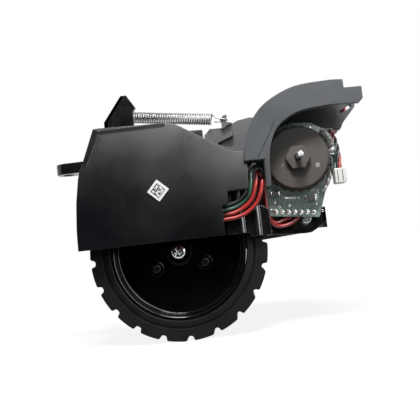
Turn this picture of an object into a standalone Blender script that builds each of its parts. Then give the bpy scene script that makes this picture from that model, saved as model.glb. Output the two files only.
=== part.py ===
"""Wheel drive module of a robot vacuum.

A black frame holds a sprung arm. The arm carries the gearbox, the motor with its encoder, and the wheel.
Modelled in metres with +Z up. The origin is the seat on top of the mounting ear. +X runs towards the motor
end and +Y towards the middle of the robot. Sizes below are in millimetres, measured from the wheel's axle.
"""

import math

import bmesh
import bpy
from mathutils import Vector

MM = 0.001
EAR_SEAT = Vector((-39.0, 0.0, 40.6))  # the origin of the part, seen from the wheel's axle
FIT = 0.3  # clearance between pieces that touch
WELD = 0.002  # points this close are one

# Axes that run along Y, as (x, z)
WHEEL_AXIS = (0.0, 0.0)
PIVOT_AXIS = (52.1, 7.4)
MOTOR_AXIS = (50.3, 30.9)

# Gear train: teeth and module of each mesh
MODULE_FAST = 0.6
MODULE_SLOW = 0.8
PINION_TEETH = 11
GEAR_A_TEETH = 42
SMALL_TEETH = 12
LARGE_TEETH = 50
PRESSURE_ANGLE = math.radians(20)
BACKLASH = 0.16
ROOT_DEPTH = 1.2  # in modules
FAST_DISTANCE = MODULE_FAST * (PINION_TEETH + GEAR_A_TEETH) / 2
SLOW_DISTANCE = MODULE_SLOW * (SMALL_TEETH + LARGE_TEETH) / 2
LINE_TO_GEAR_A = math.radians(168)

# Wheel
TYRE_RADIUS = 35.0
TYRE_HALF_WIDTH = 9.0
TREAD_THICK = 4.9
CARCASS_THICK = 3.5
RIM_WALL = 1.6
CARCASS_RADIUS = TYRE_RADIUS - TREAD_THICK
RIM_RADIUS = CARCASS_RADIUS - CARCASS_THICK
NOTCHES = 20
NOTCH_WIDTH = 2.4
NOTCH_DEPTH = 1.9
NOTCH_PHASE = math.radians(2)
RIM_SCREW_RADIUS = 11.3
RIM_SCREW_ANGLES = [math.radians(angle) for angle in (92, 212, 332)]
SHAFT_RADIUS = 2.5

# Planes of the arm along Y
CASE_FRONT = 10.5
LOBE_FRONT = 17.5
MOTOR_SEAT = 19.7
COVER_SEAT = 32.0
WALL = 1.8
COVER_THICK = 2.0
OUTPUT_GEAR_Y = (14.0, 19.4)
LARGE_B_Y = (22.2, 26.2)
SMALL_B_Y = (13.6, 22.2)
SMALL_A_Y = (22.0, 27.6)
LARGE_A_Y = (27.6, 31.0)
PINION_Y = (27.2, 31.4)
MOTOR_RADIUS = 12.2
BARREL_Y = (4.6, 25.4)
HORN_Y = (13.4, 15.0)
BARREL_RADIUS = 5.9
PIN_RADIUS = 2.0
GEAR_PIN_RADIUS = 1.5
GEAR_ROOM = 0.8  # between a large gear's tips and the wall of the case
LOBE_ROOM = 5.3
CASE_RADIUS = MODULE_SLOW * (LARGE_TEETH / 2 + 1) + GEAR_ROOM + WALL
LOBE_RADIUS = MODULE_FAST * (GEAR_A_TEETH / 2 + 1) + LOBE_ROOM + WALL
LUG_REACH = 1.5  # from the rim of the case to the middle of a screw lug
MOTOR_END_RADIUS = 14.0

# Spring
SPRING_LEFT = Vector((-13.8, 13.2, 59.5))
SPRING_RIGHT = Vector((18.2, 13.2, 54.75))
SPRING_COILS = 43
SPRING_RADIUS = 2.25
SPRING_WIRE = 0.3
SPRING_PEG = (-17.4, 60.0)

# Frame
FENDER_WALL = 1.8
FENDER_BELLY = (-16.0, 16.0)  # the foremost line of the panel, as (y, z)
FENDER_LEAN = 5.0 / 37.0**2  # how fast the panel leans back above that line
FENDER_TUCK = 0.7 / 14.0**2  # and below it
TYRE_CLEARANCE = 0.9
SIDE_WALL = 1.7
SHELL_LEFT = -TYRE_RADIUS - TYRE_CLEARANCE - SIDE_WALL  # the lowest outer corner of the side wall
ROOF_TOP = 50.7
ROOF_THICK = 2.0
RAIL_Y = (8.0, 10.0)
ANCHOR_Y = (8.4, 10.4)
GUIDE_Y = (-11.2, -9.6)  # the wall behind the screw posts
POST_CENTRE_Y = -8.9
POST_RADIUS = 3.1
EAR_TIP = (-42.4, 0.0)
EAR_RADIUS = 4.7
EAR_THICK = 4.4
ARCH_FRONT = -18.0
BEAM_Y = (0.2, 4.2)
YOKE_BACK_Y = (25.9, 29.5)
LUG_RADIUS = 6.0
LEAD_RADIUS = 0.7
STRAND_REACH = 1.15  # from the middle of the twisted leads to the middle of each

ROUND = 24  # facets of a large round shape
SMALL_ROUND = 10


def around(centre, radius, angle):
    """A point on a circle in the XZ plane; the angle runs from +X to +Z."""
    return (centre[0] + radius * math.cos(angle), centre[1] + radius * math.sin(angle))


def circle(centre, radius, count=ROUND, phase=0.0):
    return [around(centre, radius, phase + math.tau * i / count) for i in range(count)]


def hull(points):
    """The convex outline round a set of points, counter-clockwise."""
    points = sorted(set(points))

    def half(row):
        chain = []
        for point in row:
            while len(chain) > 1:
                (ax, az), (bx, bz) = chain[-2], chain[-1]
                if (bx - ax) * (point[1] - az) - (bz - az) * (point[0] - ax) > 1e-9:
                    break
                chain.pop()
            chain.append(point)
        return chain[:-1]

    return half(points) + half(points[::-1])


def belt(*circles):
    """The outline of a belt round circles given as (centre, radius)."""
    return hull([point for centre, radius in circles for point in circle(centre, radius)])


def smooth_line(points, steps):
    """Points of a Catmull-Rom curve through the given ones, with so many steps in each span."""
    points = [Vector(point) for point in points]
    ends = [2 * points[0] - points[1], 2 * points[-1] - points[-2]]
    row = [ends[0]] + points + [ends[1]]
    line = []
    for i in range(1, len(row) - 2):
        a, b, c, d = row[i - 1 : i + 3]
        for step in range(steps):
            t = step / steps
            line.append(0.5 * (2 * b + (c - a) * t + (2 * a - 5 * b + 4 * c - d) * t**2
                               + (3 * b - a - 3 * c + d) * t**3))
    return line + [points[-1]]


GEAR_A_AXIS = around(MOTOR_AXIS, FAST_DISTANCE, LINE_TO_GEAR_A)


def gear_b_axis():
    """Where the middle gear meshes with the wheel's gear and with gear A: on the upper side of their line."""
    span = math.hypot(*GEAR_A_AXIS)
    aside = math.sqrt(SLOW_DISTANCE**2 - (span / 2) ** 2)
    ux, uz = GEAR_A_AXIS[0] / span, GEAR_A_AXIS[1] / span
    return (GEAR_A_AXIS[0] / 2 - uz * aside, GEAR_A_AXIS[1] / 2 + ux * aside)


GEAR_B_AXIS = gear_b_axis()
COVER_LUGS = [around(WHEEL_AXIS, CASE_RADIUS + LUG_REACH, math.radians(225)),
              around(WHEEL_AXIS, CASE_RADIUS + LUG_REACH, math.radians(150)),
              around(WHEEL_AXIS, CASE_RADIUS + LUG_REACH, math.radians(300)),
              around(GEAR_B_AXIS, CASE_RADIUS + LUG_REACH - 0.4, math.radians(121)),
              around(MOTOR_AXIS, MOTOR_END_RADIUS + LUG_REACH + 1.2, math.radians(91))]
MOTOR_SCREWS = [around(MOTOR_AXIS, 6.8, math.radians(angle)) for angle in (90, 270)]


def material(name, colour, roughness, metallic=0.0):
    made = bpy.data.materials.new(name)
    made.use_nodes = True
    shader = made.node_tree.nodes["Principled BSDF"]
    shader.inputs["Base Color"].default_value = (*colour, 1.0)
    shader.inputs["Roughness"].default_value = roughness
    shader.inputs["Metallic"].default_value = metallic
    return made


def finish(name, bm, finish_material, origin=(0.0, 0.0, 0.0), parent=None, angle=35):
    """Makes an object of a mesh in millimetres. The origin is given from the wheel's axle."""
    bmesh.ops.remove_doubles(bm, verts=bm.verts, dist=WELD)
    bmesh.ops.recalc_face_normals(bm, faces=bm.faces)
    origin = Vector(origin)
    for vert in bm.verts:
        vert.co = (vert.co - origin) * MM
    mesh = bpy.data.meshes.new(name)
    bm.to_mesh(mesh)
    bm.free()
    mesh.shade_smooth()
    mesh.set_sharp_from_angle(angle=math.radians(angle))
    made = bpy.data.objects.new(name, mesh)
    bpy.context.scene.collection.objects.link(made)
    if finish_material:
        mesh.materials.append(finish_material)
    place = (origin - EAR_SEAT) * MM
    if parent:
        made.parent = parent
        place = place - parent.location
    made.location = place
    return made


def axis_empty(name, axis):
    """An empty on a joint's axis, for the pieces that turn about it."""
    made = bpy.data.objects.new(name, None)
    made.location = (Vector((axis[0], 0.0, axis[1])) - EAR_SEAT) * MM
    bpy.context.scene.collection.objects.link(made)
    return made


def extrude_outline(bm, outline, start, end):
    """A prism of an XZ outline between two planes of Y."""
    verts = [bm.verts.new((x, start, z)) for x, z in outline]
    face = bm.faces.new(verts)
    moved = bmesh.ops.extrude_face_region(bm, geom=[face])["geom"]
    bmesh.ops.translate(bm, verts=[v for v in moved if isinstance(v, bmesh.types.BMVert)],
                        vec=(0, end - start, 0))


def prism(name, outline, start, end, look=None, axis=(0.0, 0.0), parent=None, bevel=0.0):
    bm = bmesh.new()
    extrude_outline(bm, outline, start, end)
    if bevel:
        rims = [e for e in bm.edges if abs(e.verts[0].co.y - e.verts[1].co.y) < 1e-6]
        bmesh.ops.bevel(bm, geom=rims, offset=bevel, segments=1, profile=0.5, affect="EDGES", material=-1)
    return finish(name, bm, look, (axis[0], 0.0, axis[1]), parent)


def spin_profile(bm, axis, profile, count, closed):
    """Turns a profile of (radius, y) points about a line along Y."""
    verts = [bm.verts.new((axis[0] + radius, y, axis[1])) for radius, y in profile]
    pairs = list(zip(verts, verts[1:]))
    if closed:
        pairs.append((verts[-1], verts[0]))
    edges = [bm.edges.new(pair) for pair in pairs]
    bmesh.ops.spin(bm, geom=verts + edges, cent=(axis[0], 0.0, axis[1]), axis=(0, 1, 0),
                   angle=math.tau, steps=count, use_merge=True)


def turned(name, axis, profile, look=None, parent=None, count=ROUND):
    """A turned piece. A profile that starts on the axis is solid, any other is a ring."""
    bm = bmesh.new()
    spin_profile(bm, axis, profile, count, profile[0][0] > 0)
    return finish(name, bm, look, (axis[0], 0.0, axis[1]), parent)


def rod(name, axis, radius, start, end, look=None, parent=None, count=SMALL_ROUND):
    return prism(name, circle(axis, radius, count), start, end, look, axis, parent)


def box(name, low, high, look=None, parent=None, origin=(0.0, 0.0, 0.0), bevel=0.0):
    bm = bmesh.new()
    bmesh.ops.create_cube(bm, size=1.0)
    low, high = Vector(low), Vector(high)
    for vert in bm.verts:
        vert.co = Vector([(low[i] + high[i]) / 2 + vert.co[i] * (high[i] - low[i]) for i in range(3)])
    if bevel:
        bmesh.ops.bevel(bm, geom=bm.edges[:], offset=bevel, segments=1, profile=0.5, affect="EDGES",
                        material=-1)
    return finish(name, bm, look, origin, parent)


def combine(target, tools, operation):
    """Joins hidden bodies to an object, or cuts them out of it."""
    for tool in tools:
        tool.hide_render = True
        tool.display_type = "WIRE"
        step = target.modifiers.new(f"{operation.lower()} {tool.name}", "BOOLEAN")
        step.operation = operation
        step.object = tool
        step.solver = "EXACT"
    return target


def join(target, *tools):
    return combine(target, tools, "UNION")


def cut(target, *tools):
    return combine(target, tools, "DIFFERENCE")


# Frame


def side_line(*points):
    """Points on the side wall, each given by how far in from its lowest corner it stands, and its height."""
    return [(SHELL_LEFT + inset, height) for inset, height in points]


def fender_outline():
    top = [(-27.3, 51.8), (-11.5, 51.1), (0.6, 50.7), (5.0, 49.3), (9.2, 46.4), (17.7, 40.8), (22.1, 37.3),
           (25.9, 35.7), (31.0, 35.1)]
    right = [(30.6, 31.4), (30.0, 20.9), (22.0, 20.9), (21.3, 16.0), (19.3, 15.5), (19.3, 4.4)]
    left = side_line((0.0, 4.4), (1.2, 22.7), (2.6, 32.0), (3.1, 35.0), (4.8, 38.4))
    return top + right + left


def fender_front(height):
    """Where the panel's outer face stands along Y: it leans back above its belly and tucks in below."""
    belly, middle = FENDER_BELLY
    rise = height - middle
    return belly + (FENDER_LEAN if rise > 0 else FENDER_TUCK) * rise**2


def fender_section():
    """The panel's section across Y and Z."""
    heights = [2.0 + 51.0 * step / 12 for step in range(13)]
    outer = [(fender_front(z), z) for z in heights]
    return outer + [(y + FENDER_WALL, z) for y, z in reversed(outer)]


def section_bar(name, section, start, end, look=None):
    """A bar with a YZ section that runs along X."""
    bm = bmesh.new()
    face = bm.faces.new([bm.verts.new((start, y, z)) for y, z in section])
    moved = bmesh.ops.extrude_face_region(bm, geom=[face])["geom"]
    bmesh.ops.translate(bm, verts=[v for v in moved if isinstance(v, bmesh.types.BMVert)],
                        vec=(end - start, 0, 0))
    return finish(name, bm, look)


def plan_plate(name, outline, low, high):
    """A flat plate with an XY outline."""
    bm = bmesh.new()
    face = bm.faces.new([bm.verts.new((x, y, low)) for x, y in outline])
    moved = bmesh.ops.extrude_face_region(bm, geom=[face])["geom"]
    bmesh.ops.translate(bm, verts=[v for v in moved if isinstance(v, bmesh.types.BMVert)],
                        vec=(0, 0, high - low))
    return finish(name, bm, None)


def offset_line(line, distance):
    """The same open line moved to its right-hand side."""
    moved = []
    for i, (x, z) in enumerate(line):
        ax, az = line[max(i - 1, 0)]
        bx, bz = line[min(i + 1, len(line) - 1)]
        length = math.hypot(bx - ax, bz - az)
        moved.append((x + distance * (bz - az) / length, z - distance * (bx - ax) / length))
    return moved


def arch_lines():
    """The outer and the inner edge of the arch over the motor end."""
    outer = smooth_line([(29.6, 31.3), (30.9, 38.5), (33.6, 45.4), (39.6, 52.1), (50.6, 57.1), (63.7, 58.0),
                         (69.8, 57.6)], 3)
    inner = smooth_line([(63.0, 48.5), (52.1, 47.4), (44.2, 43.1), (40.4, 36.6), (39.1, 29.6)], 3)
    return [tuple(p) for p in outer], [tuple(p) for p in inner]


def fender_shell(look):
    """The bowed panel in front of the wheel, and the side wall and roof that join it."""
    panel = section_bar("frame", fender_section(), SHELL_LEFT - 7.4, 36.0, look)
    combine(panel, [prism("fender outline", fender_outline(), -25.0, 5.0)], "INTERSECT")
    outer = side_line((0.0, 4.4), (1.2, 22.7), (2.6, 32.0), (4.8, 38.4), (10.3, 51.2))
    inner = side_line((12.4, 50.2), (6.7, 37.7), (4.2, 31.5), (2.4, 22.5), (SIDE_WALL, 14.0),
                      (SIDE_WALL, 4.4))
    side_wall = prism("side wall", outer + inner, -14.8, 10.0)
    roof = plan_plate("roof", [(-28.0, -12.0), (0.5, -12.0), (1.5, -11.4), (1.5, 10.0), (-14.0, 10.0),
                               (-14.0, 17.0), (-27.4, 17.0)], ROOF_TOP - ROOF_THICK, ROOF_TOP)
    rail = prism("roof rail", [(0.0, 50.7), (8.0, 50.2), (14.0, 49.9), (14.0, 45.6), (0.0, 47.8)], *RAIL_Y)
    return panel, [side_wall, roof, rail]


def spring_anchor():
    """The post on the roof with the peg that holds the left end of the spring."""
    wall = prism("anchor post", [(-27.6, 49.0), (-27.6, 58.1), (-19.4, 68.7), (-16.9, 68.8), (-13.4, 62.9),
                                 (-14.7, 61.1), (-14.7, 49.0)], *ANCHOR_Y)
    rib = prism("anchor rib", [(-27.6, 49.0), (-27.6, 58.1), (-19.4, 68.7), (-17.4, 68.7), (-25.6, 58.0),
                               (-25.6, 49.0)], ANCHOR_Y[0], 17.0)
    return [wall, rib, rod("spring peg", SPRING_PEG, 1.1, ANCHOR_Y[1] - 1.0, 15.5)]


def mounting_ear():
    """The ear by which the chassis holds the module, and the cutter of its upright hole."""
    tip = [(EAR_TIP[0] + x, EAR_TIP[1] + y) for x, y in circle((0.0, 0.0), EAR_RADIUS)]
    root = SHELL_LEFT + 6.1
    ear = plan_plate("ear", hull([(root, -EAR_RADIUS - 0.1), (root, EAR_RADIUS + 0.1)] + tip),
                     EAR_SEAT.z - EAR_THICK, EAR_SEAT.z)
    hole = rod("ear hole", (0.0, 0.0), 2.1, -3.0, 3.0)
    hole.rotation_euler.x = math.pi / 2
    hole.location = (Vector((EAR_TIP[0] - 0.2, EAR_TIP[1], EAR_SEAT.z - EAR_THICK / 2)) - EAR_SEAT) * MM
    return ear, hole


def motor_arch():
    """The arch over the motor end, the back wall with its bracket and flange, and the cutter of its hole."""
    outer, inner = arch_lines()
    end = [(69.8, 54.4), (76.4, 54.2), (76.4, 49.6), (74.7, 48.0), (72.4, 48.0)]
    leg = [(38.7, 20.6), (36.7, 20.5), (37.3, 31.0)]
    front = prism("arch", outer + end + inner + leg, ARCH_FRONT, ARCH_FRONT + WALL)
    hood = prism("hood", outer + offset_line(outer, WALL)[::-1], ARCH_FRONT, 1.5)
    leg_rib = prism("leg rib", [(38.7, 20.6), (36.7, 20.5), (37.0, 34.0), (39.0, 34.0)], ARCH_FRONT, -12.0)
    inner_rib = prism("arch rib", inner + offset_line(inner, 1.4)[::-1], ARCH_FRONT, -14.0)
    rim = offset_line(outer, WALL / 2)
    bracket = prism("wire bracket", [(36.0, 41.0), (41.0, 44.4), (57.0, 44.4), (62.0, 42.6), (69.8, 42.6),
                                     (76.6, 50.0), (76.6, 52.6), (69.6, 57.4)] + rim[15:5:-1], -1.5, 1.5)
    flange = prism("bracket flange", [(57.0, 44.4), (62.0, 42.6), (66.8, 42.6), (66.8, 44.0), (62.4, 44.0),
                                      (57.4, 45.8)], 1.0, 12.0)
    hole = prism("wire hole", [(70.2, 48.9), (72.6, 52.2), (75.2, 50.9), (72.9, 47.0)], -3.0, 3.0)
    return [front, hood, leg_rib, inner_rib, bracket, flange], hole


def lead_guide():
    """The wall, shelf and two round screw posts that the leads pass in front of."""
    wall = prism("front wall", [(20.0, 22.3), (20.0, 4.2), (28.6, 4.2), (28.6, 2.6), (37.0, 2.6),
                                (37.0, 12.5), (34.6, 14.2), (29.0, 15.0), (29.0, 22.3)], *GUIDE_Y)
    shelf = prism("shelf", [(20.5, 20.9), (29.2, 20.9), (29.2, 22.4), (20.5, 22.4)], -15.0, GUIDE_Y[1])
    posts = []
    for name, x, low, high in (("left post", 25.2, 4.2, 21.5), ("right post", 31.4, 2.6, 14.6)):
        plan = [(x + px, POST_CENTRE_Y + py) for px, py in circle((0.0, 0.0), POST_RADIUS, 20)]
        room = box(name + " room", (x - 4.0, GUIDE_Y[1], low - 1.0), (x + 4.0, 0.0, high + 1.0))
        posts.append(cut(plan_plate(name, plan, low, high), room))
    return [wall, shelf, *posts, box("sill", (35.6, -11.0, 2.4), (37.4, BEAM_Y[1], 4.4))]


def pivot_yoke():
    """The beam and the back lug that hold the pivot pin, the tie between them, and the cutter of the bore."""
    lug = circle(PIVOT_AXIS, LUG_RADIUS)
    beam = prism("beam", hull([(35.6, 2.4), (35.6, 8.6), (41.0, 8.6), (44.0, 13.2), (60.2, 11.0), (60.2, 6.0)]
                              + lug), *BEAM_Y)
    tie = box("yoke tie", (58.6, BEAM_Y[0], 3.0), (60.2, YOKE_BACK_Y[1], 11.4))
    back_lug = prism("back lug", hull([(60.2, 3.0), (60.2, 11.4)] + lug), *YOKE_BACK_Y)
    return [beam, tie, back_lug], rod("pin hole", PIVOT_AXIS, PIN_RADIUS + FIT, -2.0, 34.0, count=ROUND)


def frame(look):
    """The one moulding that holds the arm and covers the wheel."""
    shell, shell_parts = fender_shell(look)
    anchor_parts = spring_anchor()
    ear, ear_hole = mounting_ear()
    arch_parts, wire_hole = motor_arch()
    guide_parts = lead_guide()
    yoke_parts, pin_hole = pivot_yoke()
    join(shell, *shell_parts, *anchor_parts, ear, *arch_parts, *guide_parts, *yoke_parts)
    return cut(shell, ear_hole, wire_hole, pin_hole)


def label(look):
    """The small square paper label, stuck on a corner."""
    middle = (-4.3, 24.1)
    corners = [around(middle, 4.3, math.radians(angle)) for angle in (2, 92, 182, 272)]
    return prism("fender_label", corners, -16.42, -16.3, look)


# Pivot and wheel arm


def pivot_pin(look):
    profile = [(0.0, -0.6), (1.7, -0.6), (PIN_RADIUS, -0.3), (PIN_RADIUS, 30.4), (1.5, 30.4), (1.5, 31.4),
               (PIN_RADIUS, 31.4), (PIN_RADIUS, 32.4), (0.0, 32.4)]
    return turned("pivot_pin", PIVOT_AXIS, profile, look, count=24)


def pivot_clip(look):
    """The spring clip in the groove at the pin's back end, an open ring."""
    gap = math.radians(35)
    angles = [gap + (math.tau - 2 * gap) * i / 16 for i in range(17)]
    outline = [around(PIVOT_AXIS, 3.3, a) for a in angles]
    outline += [around(PIVOT_AXIS, 1.8, a) for a in angles[::-1]]
    return prism("pivot_clip", outline, 30.6, 31.2, look, PIVOT_AXIS)


def arm_outline(grow):
    """Outlines that make the case: wheel end, lobe and motor end, for a wall grown by so much."""
    wheel_end = belt((WHEEL_AXIS, CASE_RADIUS + grow), (GEAR_B_AXIS, CASE_RADIUS + grow))
    lobe = belt((GEAR_B_AXIS, CASE_RADIUS + grow), (GEAR_A_AXIS, LOBE_RADIUS + grow))
    motor_end = belt((GEAR_A_AXIS, MOTOR_END_RADIUS + 1.4 + grow), (MOTOR_AXIS, MOTOR_END_RADIUS + grow))
    return wheel_end, lobe, motor_end


def gearbox_case(look, arm):
    wheel_end, lobe, motor_end = arm_outline(0.0)
    back = COVER_SEAT
    case = prism("gearbox_case", wheel_end, CASE_FRONT, back, look, PIVOT_AXIS, arm)
    lobe_body = prism("case lobe", lobe, LOBE_FRONT, back)
    motor_body = prism("case motor end", motor_end, MOTOR_SEAT, back)
    web = prism("case web", belt((PIVOT_AXIS, BARREL_RADIUS - 0.1), ((24.0, 8.6), 8.6)), 12.4, 24.0)
    barrel = rod("case barrel", PIVOT_AXIS, BARREL_RADIUS, *BARREL_Y, count=ROUND)
    cradle = prism("case cradle", [(38.0, 8.0), (38.0, 24.0), (50.3, 24.0), (56.5, 19.0), (54.0, 8.0)],
                   17.5, 24.0)
    lugs = [rod(f"case lug {i}", spot, 3.3, 25.0, back) for i, spot in enumerate(COVER_LUGS)]
    horn = prism("spring horn", [(22.3, 49.9), (22.3, 53.8), (21.8, 54.4), (22.7, 55.2), (23.7, 56.1),
                                 (24.9, 56.1), (25.0, 55.3), (24.2, 54.4), (24.2, 53.2), (26.8, 52.4)],
                 *HORN_Y)
    root = prism("horn root", [(15.4, 43.0), (16.0, 50.0), (17.2, 51.0), (22.3, 50.9), (22.3, 52.2),
                               (24.2, 53.2), (26.8, 52.6), (26.8, 47.0)], HORN_Y[0] + 1.6, LOBE_FRONT + 2.5)
    foot = prism("horn foot", [(15.0, 42.0), (14.3, 48.2), (17.2, 51.0), (19.8, 47.9), (20.0, 42.0)],
                 HORN_Y[0] + 0.6, LOBE_FRONT + 2.5)
    join(case, lobe_body, motor_body, web, barrel, cradle, *lugs, horn, root, foot)

    wheel_room, lobe_room, _ = arm_outline(-WALL)
    motor_room = belt((GEAR_A_AXIS, MOTOR_END_RADIUS), (MOTOR_AXIS, 9.6))
    rooms = [prism("wheel gear room", wheel_room, CASE_FRONT + WALL, back + 1.0),
             prism("lobe room", lobe_room, LOBE_FRONT + 1.7, back + 1.0),
             prism("motor gear room", motor_room, MOTOR_SEAT + 1.7, back + 1.0),
             rod("motor pocket", MOTOR_AXIS, MOTOR_RADIUS + FIT, -6.0, MOTOR_SEAT, count=ROUND)]
    cut(case, *rooms)
    gear_bosses = [rod("gear B boss", GEAR_B_AXIS, 3.4, CASE_FRONT + 1.0, 13.2),
                   rod("gear A boss", GEAR_A_AXIS, 3.4, LOBE_FRONT + 0.5, 21.6),
                   rod("wheel bearing boss", WHEEL_AXIS, 7.0, 9.6, 13.6, count=ROUND)]
    join(case, *gear_bosses)
    holes = [rod("bearing seat", WHEEL_AXIS, 4.9, 5.0, 20.0, count=24),
             rod("gear B pin hole", GEAR_B_AXIS, GEAR_PIN_RADIUS + FIT, 11.3, 20.0),
             rod("gear A pin hole", GEAR_A_AXIS, GEAR_PIN_RADIUS + FIT, 18.7, 26.0),
             rod("motor boss hole", MOTOR_AXIS, 3.4, 15.0, 26.0),
             rod("pivot bore", PIVOT_AXIS, PIN_RADIUS + FIT, 0.0, 30.0, count=24)]
    holes += [rod(f"lug hole {i}", spot, 1.5, 27.0, 36.0) for i, spot in enumerate(COVER_LUGS)]
    holes += [rod(f"motor screw hole {i}", spot, 1.3, 15.0, 26.0) for i, spot in enumerate(MOTOR_SCREWS)]
    return cut(case, *holes)


def gearbox_cover(look, arm):
    wheel_end, lobe, motor_end = arm_outline(0.0)
    low, high = COVER_SEAT + FIT, COVER_SEAT + FIT + COVER_THICK
    cover = prism("gearbox_cover", wheel_end, low, high, look, PIVOT_AXIS, arm)
    parts = [prism("cover lobe", lobe, low, high), prism("cover motor end", motor_end, low, high),
             rod("cover bearing boss", WHEEL_AXIS, 7.0, 29.6, high + 0.8, count=ROUND)]
    parts += [rod(f"cover lug {i}", spot, 3.3, low, high) for i, spot in enumerate(COVER_LUGS)]
    join(cover, *parts)
    holes = [rod("cover bearing seat", WHEEL_AXIS, 4.9, 28.0, 33.8, count=24),
             rod("cover gear B hole", GEAR_B_AXIS, GEAR_PIN_RADIUS + FIT, 30.0, 33.4),
             rod("cover gear A hole", GEAR_A_AXIS, GEAR_PIN_RADIUS + FIT, 30.0, 33.4)]
    holes += [rod(f"cover screw hole {i}", spot, 1.5, 30.0, 36.0) for i, spot in enumerate(COVER_LUGS)]
    return cut(cover, *holes)


def screw(name, axis, seat, head_radius, head_height, shank_radius, length, look, parent=None, side=-1):
    """A pan head screw with a cross recess. The head stands on the seat, on its side of Y."""
    crown = seat + side * head_height
    edge = seat + side * head_height * 0.55
    tip = seat - side * length
    profile = [(0.0, crown), (head_radius * 0.6, crown), (head_radius, edge), (head_radius, seat),
               (shank_radius, seat), (shank_radius, tip), (0.0, tip)]
    made = turned(name, axis, profile, look, parent, count=SMALL_ROUND)
    arm_long, arm_wide = head_radius * 0.55, head_radius * 0.14
    depth = crown - side * head_height * 0.6
    low, high = min(depth, crown + side), max(depth, crown + side)
    x, z = axis
    cross = prism(name + " recess", [(x + a, z + b) for a, b in (
        (arm_long, arm_wide), (arm_wide, arm_wide), (arm_wide, arm_long), (-arm_wide, arm_long),
        (-arm_wide, arm_wide), (-arm_long, arm_wide), (-arm_long, -arm_wide), (-arm_wide, -arm_wide),
        (-arm_wide, -arm_long), (arm_wide, -arm_long), (arm_wide, -arm_wide), (arm_long, -arm_wide))],
        low, high)
    return cut(made, cross)


# Gears


def involute(base, radius):
    """The angle that an involute has turned by when it reaches a radius."""
    angle = math.acos(min(1.0, base / radius))
    return math.tan(angle) - angle


def gear_outline(axis, teeth, module, phase, flank_steps):
    """Involute teeth. The phase is the angle of one tooth's middle."""
    pitch = module * teeth / 2
    base = pitch * math.cos(PRESSURE_ANGLE)
    tip = pitch + module
    root = pitch - ROOT_DEPTH * module
    half = math.pi / (2 * teeth) - BACKLASH / (4 * pitch) + involute(base, pitch)
    start = max(root + 0.05 * module, base)
    radii = [start + (tip - start) * i / flank_steps for i in range(flank_steps + 1)]
    outline = []
    for tooth in range(teeth):
        middle = phase + math.tau * tooth / teeth
        flank = [(radius, half - involute(base, radius)) for radius in radii]
        if root < base:
            flank.insert(0, (root, flank[0][1]))
        outline += [around(axis, radius, middle - turn) for radius, turn in flank]
        outline += [around(axis, radius, middle + turn) for radius, turn in reversed(flank)]
    return outline


def mesh_phase(axis, teeth, phase, other_axis, other_teeth):
    """The phase that puts a gap of the other gear where this gear has its tooth, on the line of centres."""
    line = math.atan2(other_axis[1] - axis[1], other_axis[0] - axis[0])
    pitches = (line - phase) / (math.tau / teeth)
    back = line + math.pi
    return back + (pitches + 0.5) * math.tau / other_teeth


OUTPUT_PHASE = 0.0
SMALL_B_PHASE = mesh_phase(WHEEL_AXIS, LARGE_TEETH, OUTPUT_PHASE, GEAR_B_AXIS, SMALL_TEETH)
LARGE_B_PHASE = SMALL_B_PHASE
SMALL_A_PHASE = mesh_phase(GEAR_B_AXIS, LARGE_TEETH, LARGE_B_PHASE, GEAR_A_AXIS, SMALL_TEETH)
LARGE_A_PHASE = SMALL_A_PHASE
PINION_PHASE = mesh_phase(GEAR_A_AXIS, GEAR_A_TEETH, LARGE_A_PHASE, MOTOR_AXIS, PINION_TEETH)


def gear(name, axis, teeth, module, phase, span, flank_steps, look=None, parent=None):
    return prism(name, gear_outline(axis, teeth, module, phase, flank_steps), *span, look, axis, parent)


def bore(made, axis, radius):
    return cut(made, rod(made.name + " bore", axis, radius, 5.0, 40.0))


def compound_gear(name, large, small, look, parent):
    """A large and a small gear moulded as one, on a pin."""
    made = gear(name, *large, 1, look, parent)
    return bore(join(made, gear(name + " pinion", *small, 2)), large[0], GEAR_PIN_RADIUS + FIT)


# Wheel


def notched_outline(shrink):
    """The tread seen from the side, with a rounded notch in each pitch."""
    radius = TYRE_RADIUS - shrink
    half = math.asin(NOTCH_WIDTH / 2 / TYRE_RADIUS)
    pitch = math.tau / NOTCHES
    outline = []
    for i in range(NOTCHES):
        middle = NOTCH_PHASE + pitch * i
        floor = TYRE_RADIUS - NOTCH_DEPTH - shrink
        rounded = [(radius, -1.0), (floor + 0.5, -0.95), (floor, -0.5), (floor, 0.5), (floor + 0.5, 0.95),
                   (radius, 1.0)]
        outline += [around(WHEEL_AXIS, r, middle + half * turn) for r, turn in rounded]
        outline += [around(WHEEL_AXIS, radius, middle + pitch * 0.36),
                    around(WHEEL_AXIS, radius, middle + pitch * 0.64)]
    return outline


def tyre(look, wheel):
    bm = bmesh.new()
    edge = 0.8
    sections = ((-TYRE_HALF_WIDTH, edge), (edge - TYRE_HALF_WIDTH, 0.0), (TYRE_HALF_WIDTH - edge, 0.0),
                (TYRE_HALF_WIDTH, edge))
    loops = [[bm.verts.new((x, y, z)) for x, z in notched_outline(shrink)] for y, shrink in sections]
    for near, far in zip(loops, loops[1:]):
        for i in range(len(near)):
            j = (i + 1) % len(near)
            bm.faces.new((near[i], near[j], far[j], far[i]))
    bm.faces.new(loops[0][::-1])
    bm.faces.new(loops[-1])
    made = finish("tyre", bm, look, (0.0, 0.0, 0.0), wheel)
    bore, end = RIM_RADIUS + FIT, TYRE_HALF_WIDTH + 2.0
    recess = TYRE_HALF_WIDTH - 0.8
    hollow = [(0.0, -end), (CARCASS_RADIUS, -end), (CARCASS_RADIUS, -recess), (bore, -recess),
              (bore, recess), (CARCASS_RADIUS, recess), (CARCASS_RADIUS, end), (0.0, end)]
    return cut(made, turned("tyre bore", WHEEL_AXIS, hollow, count=32))


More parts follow.
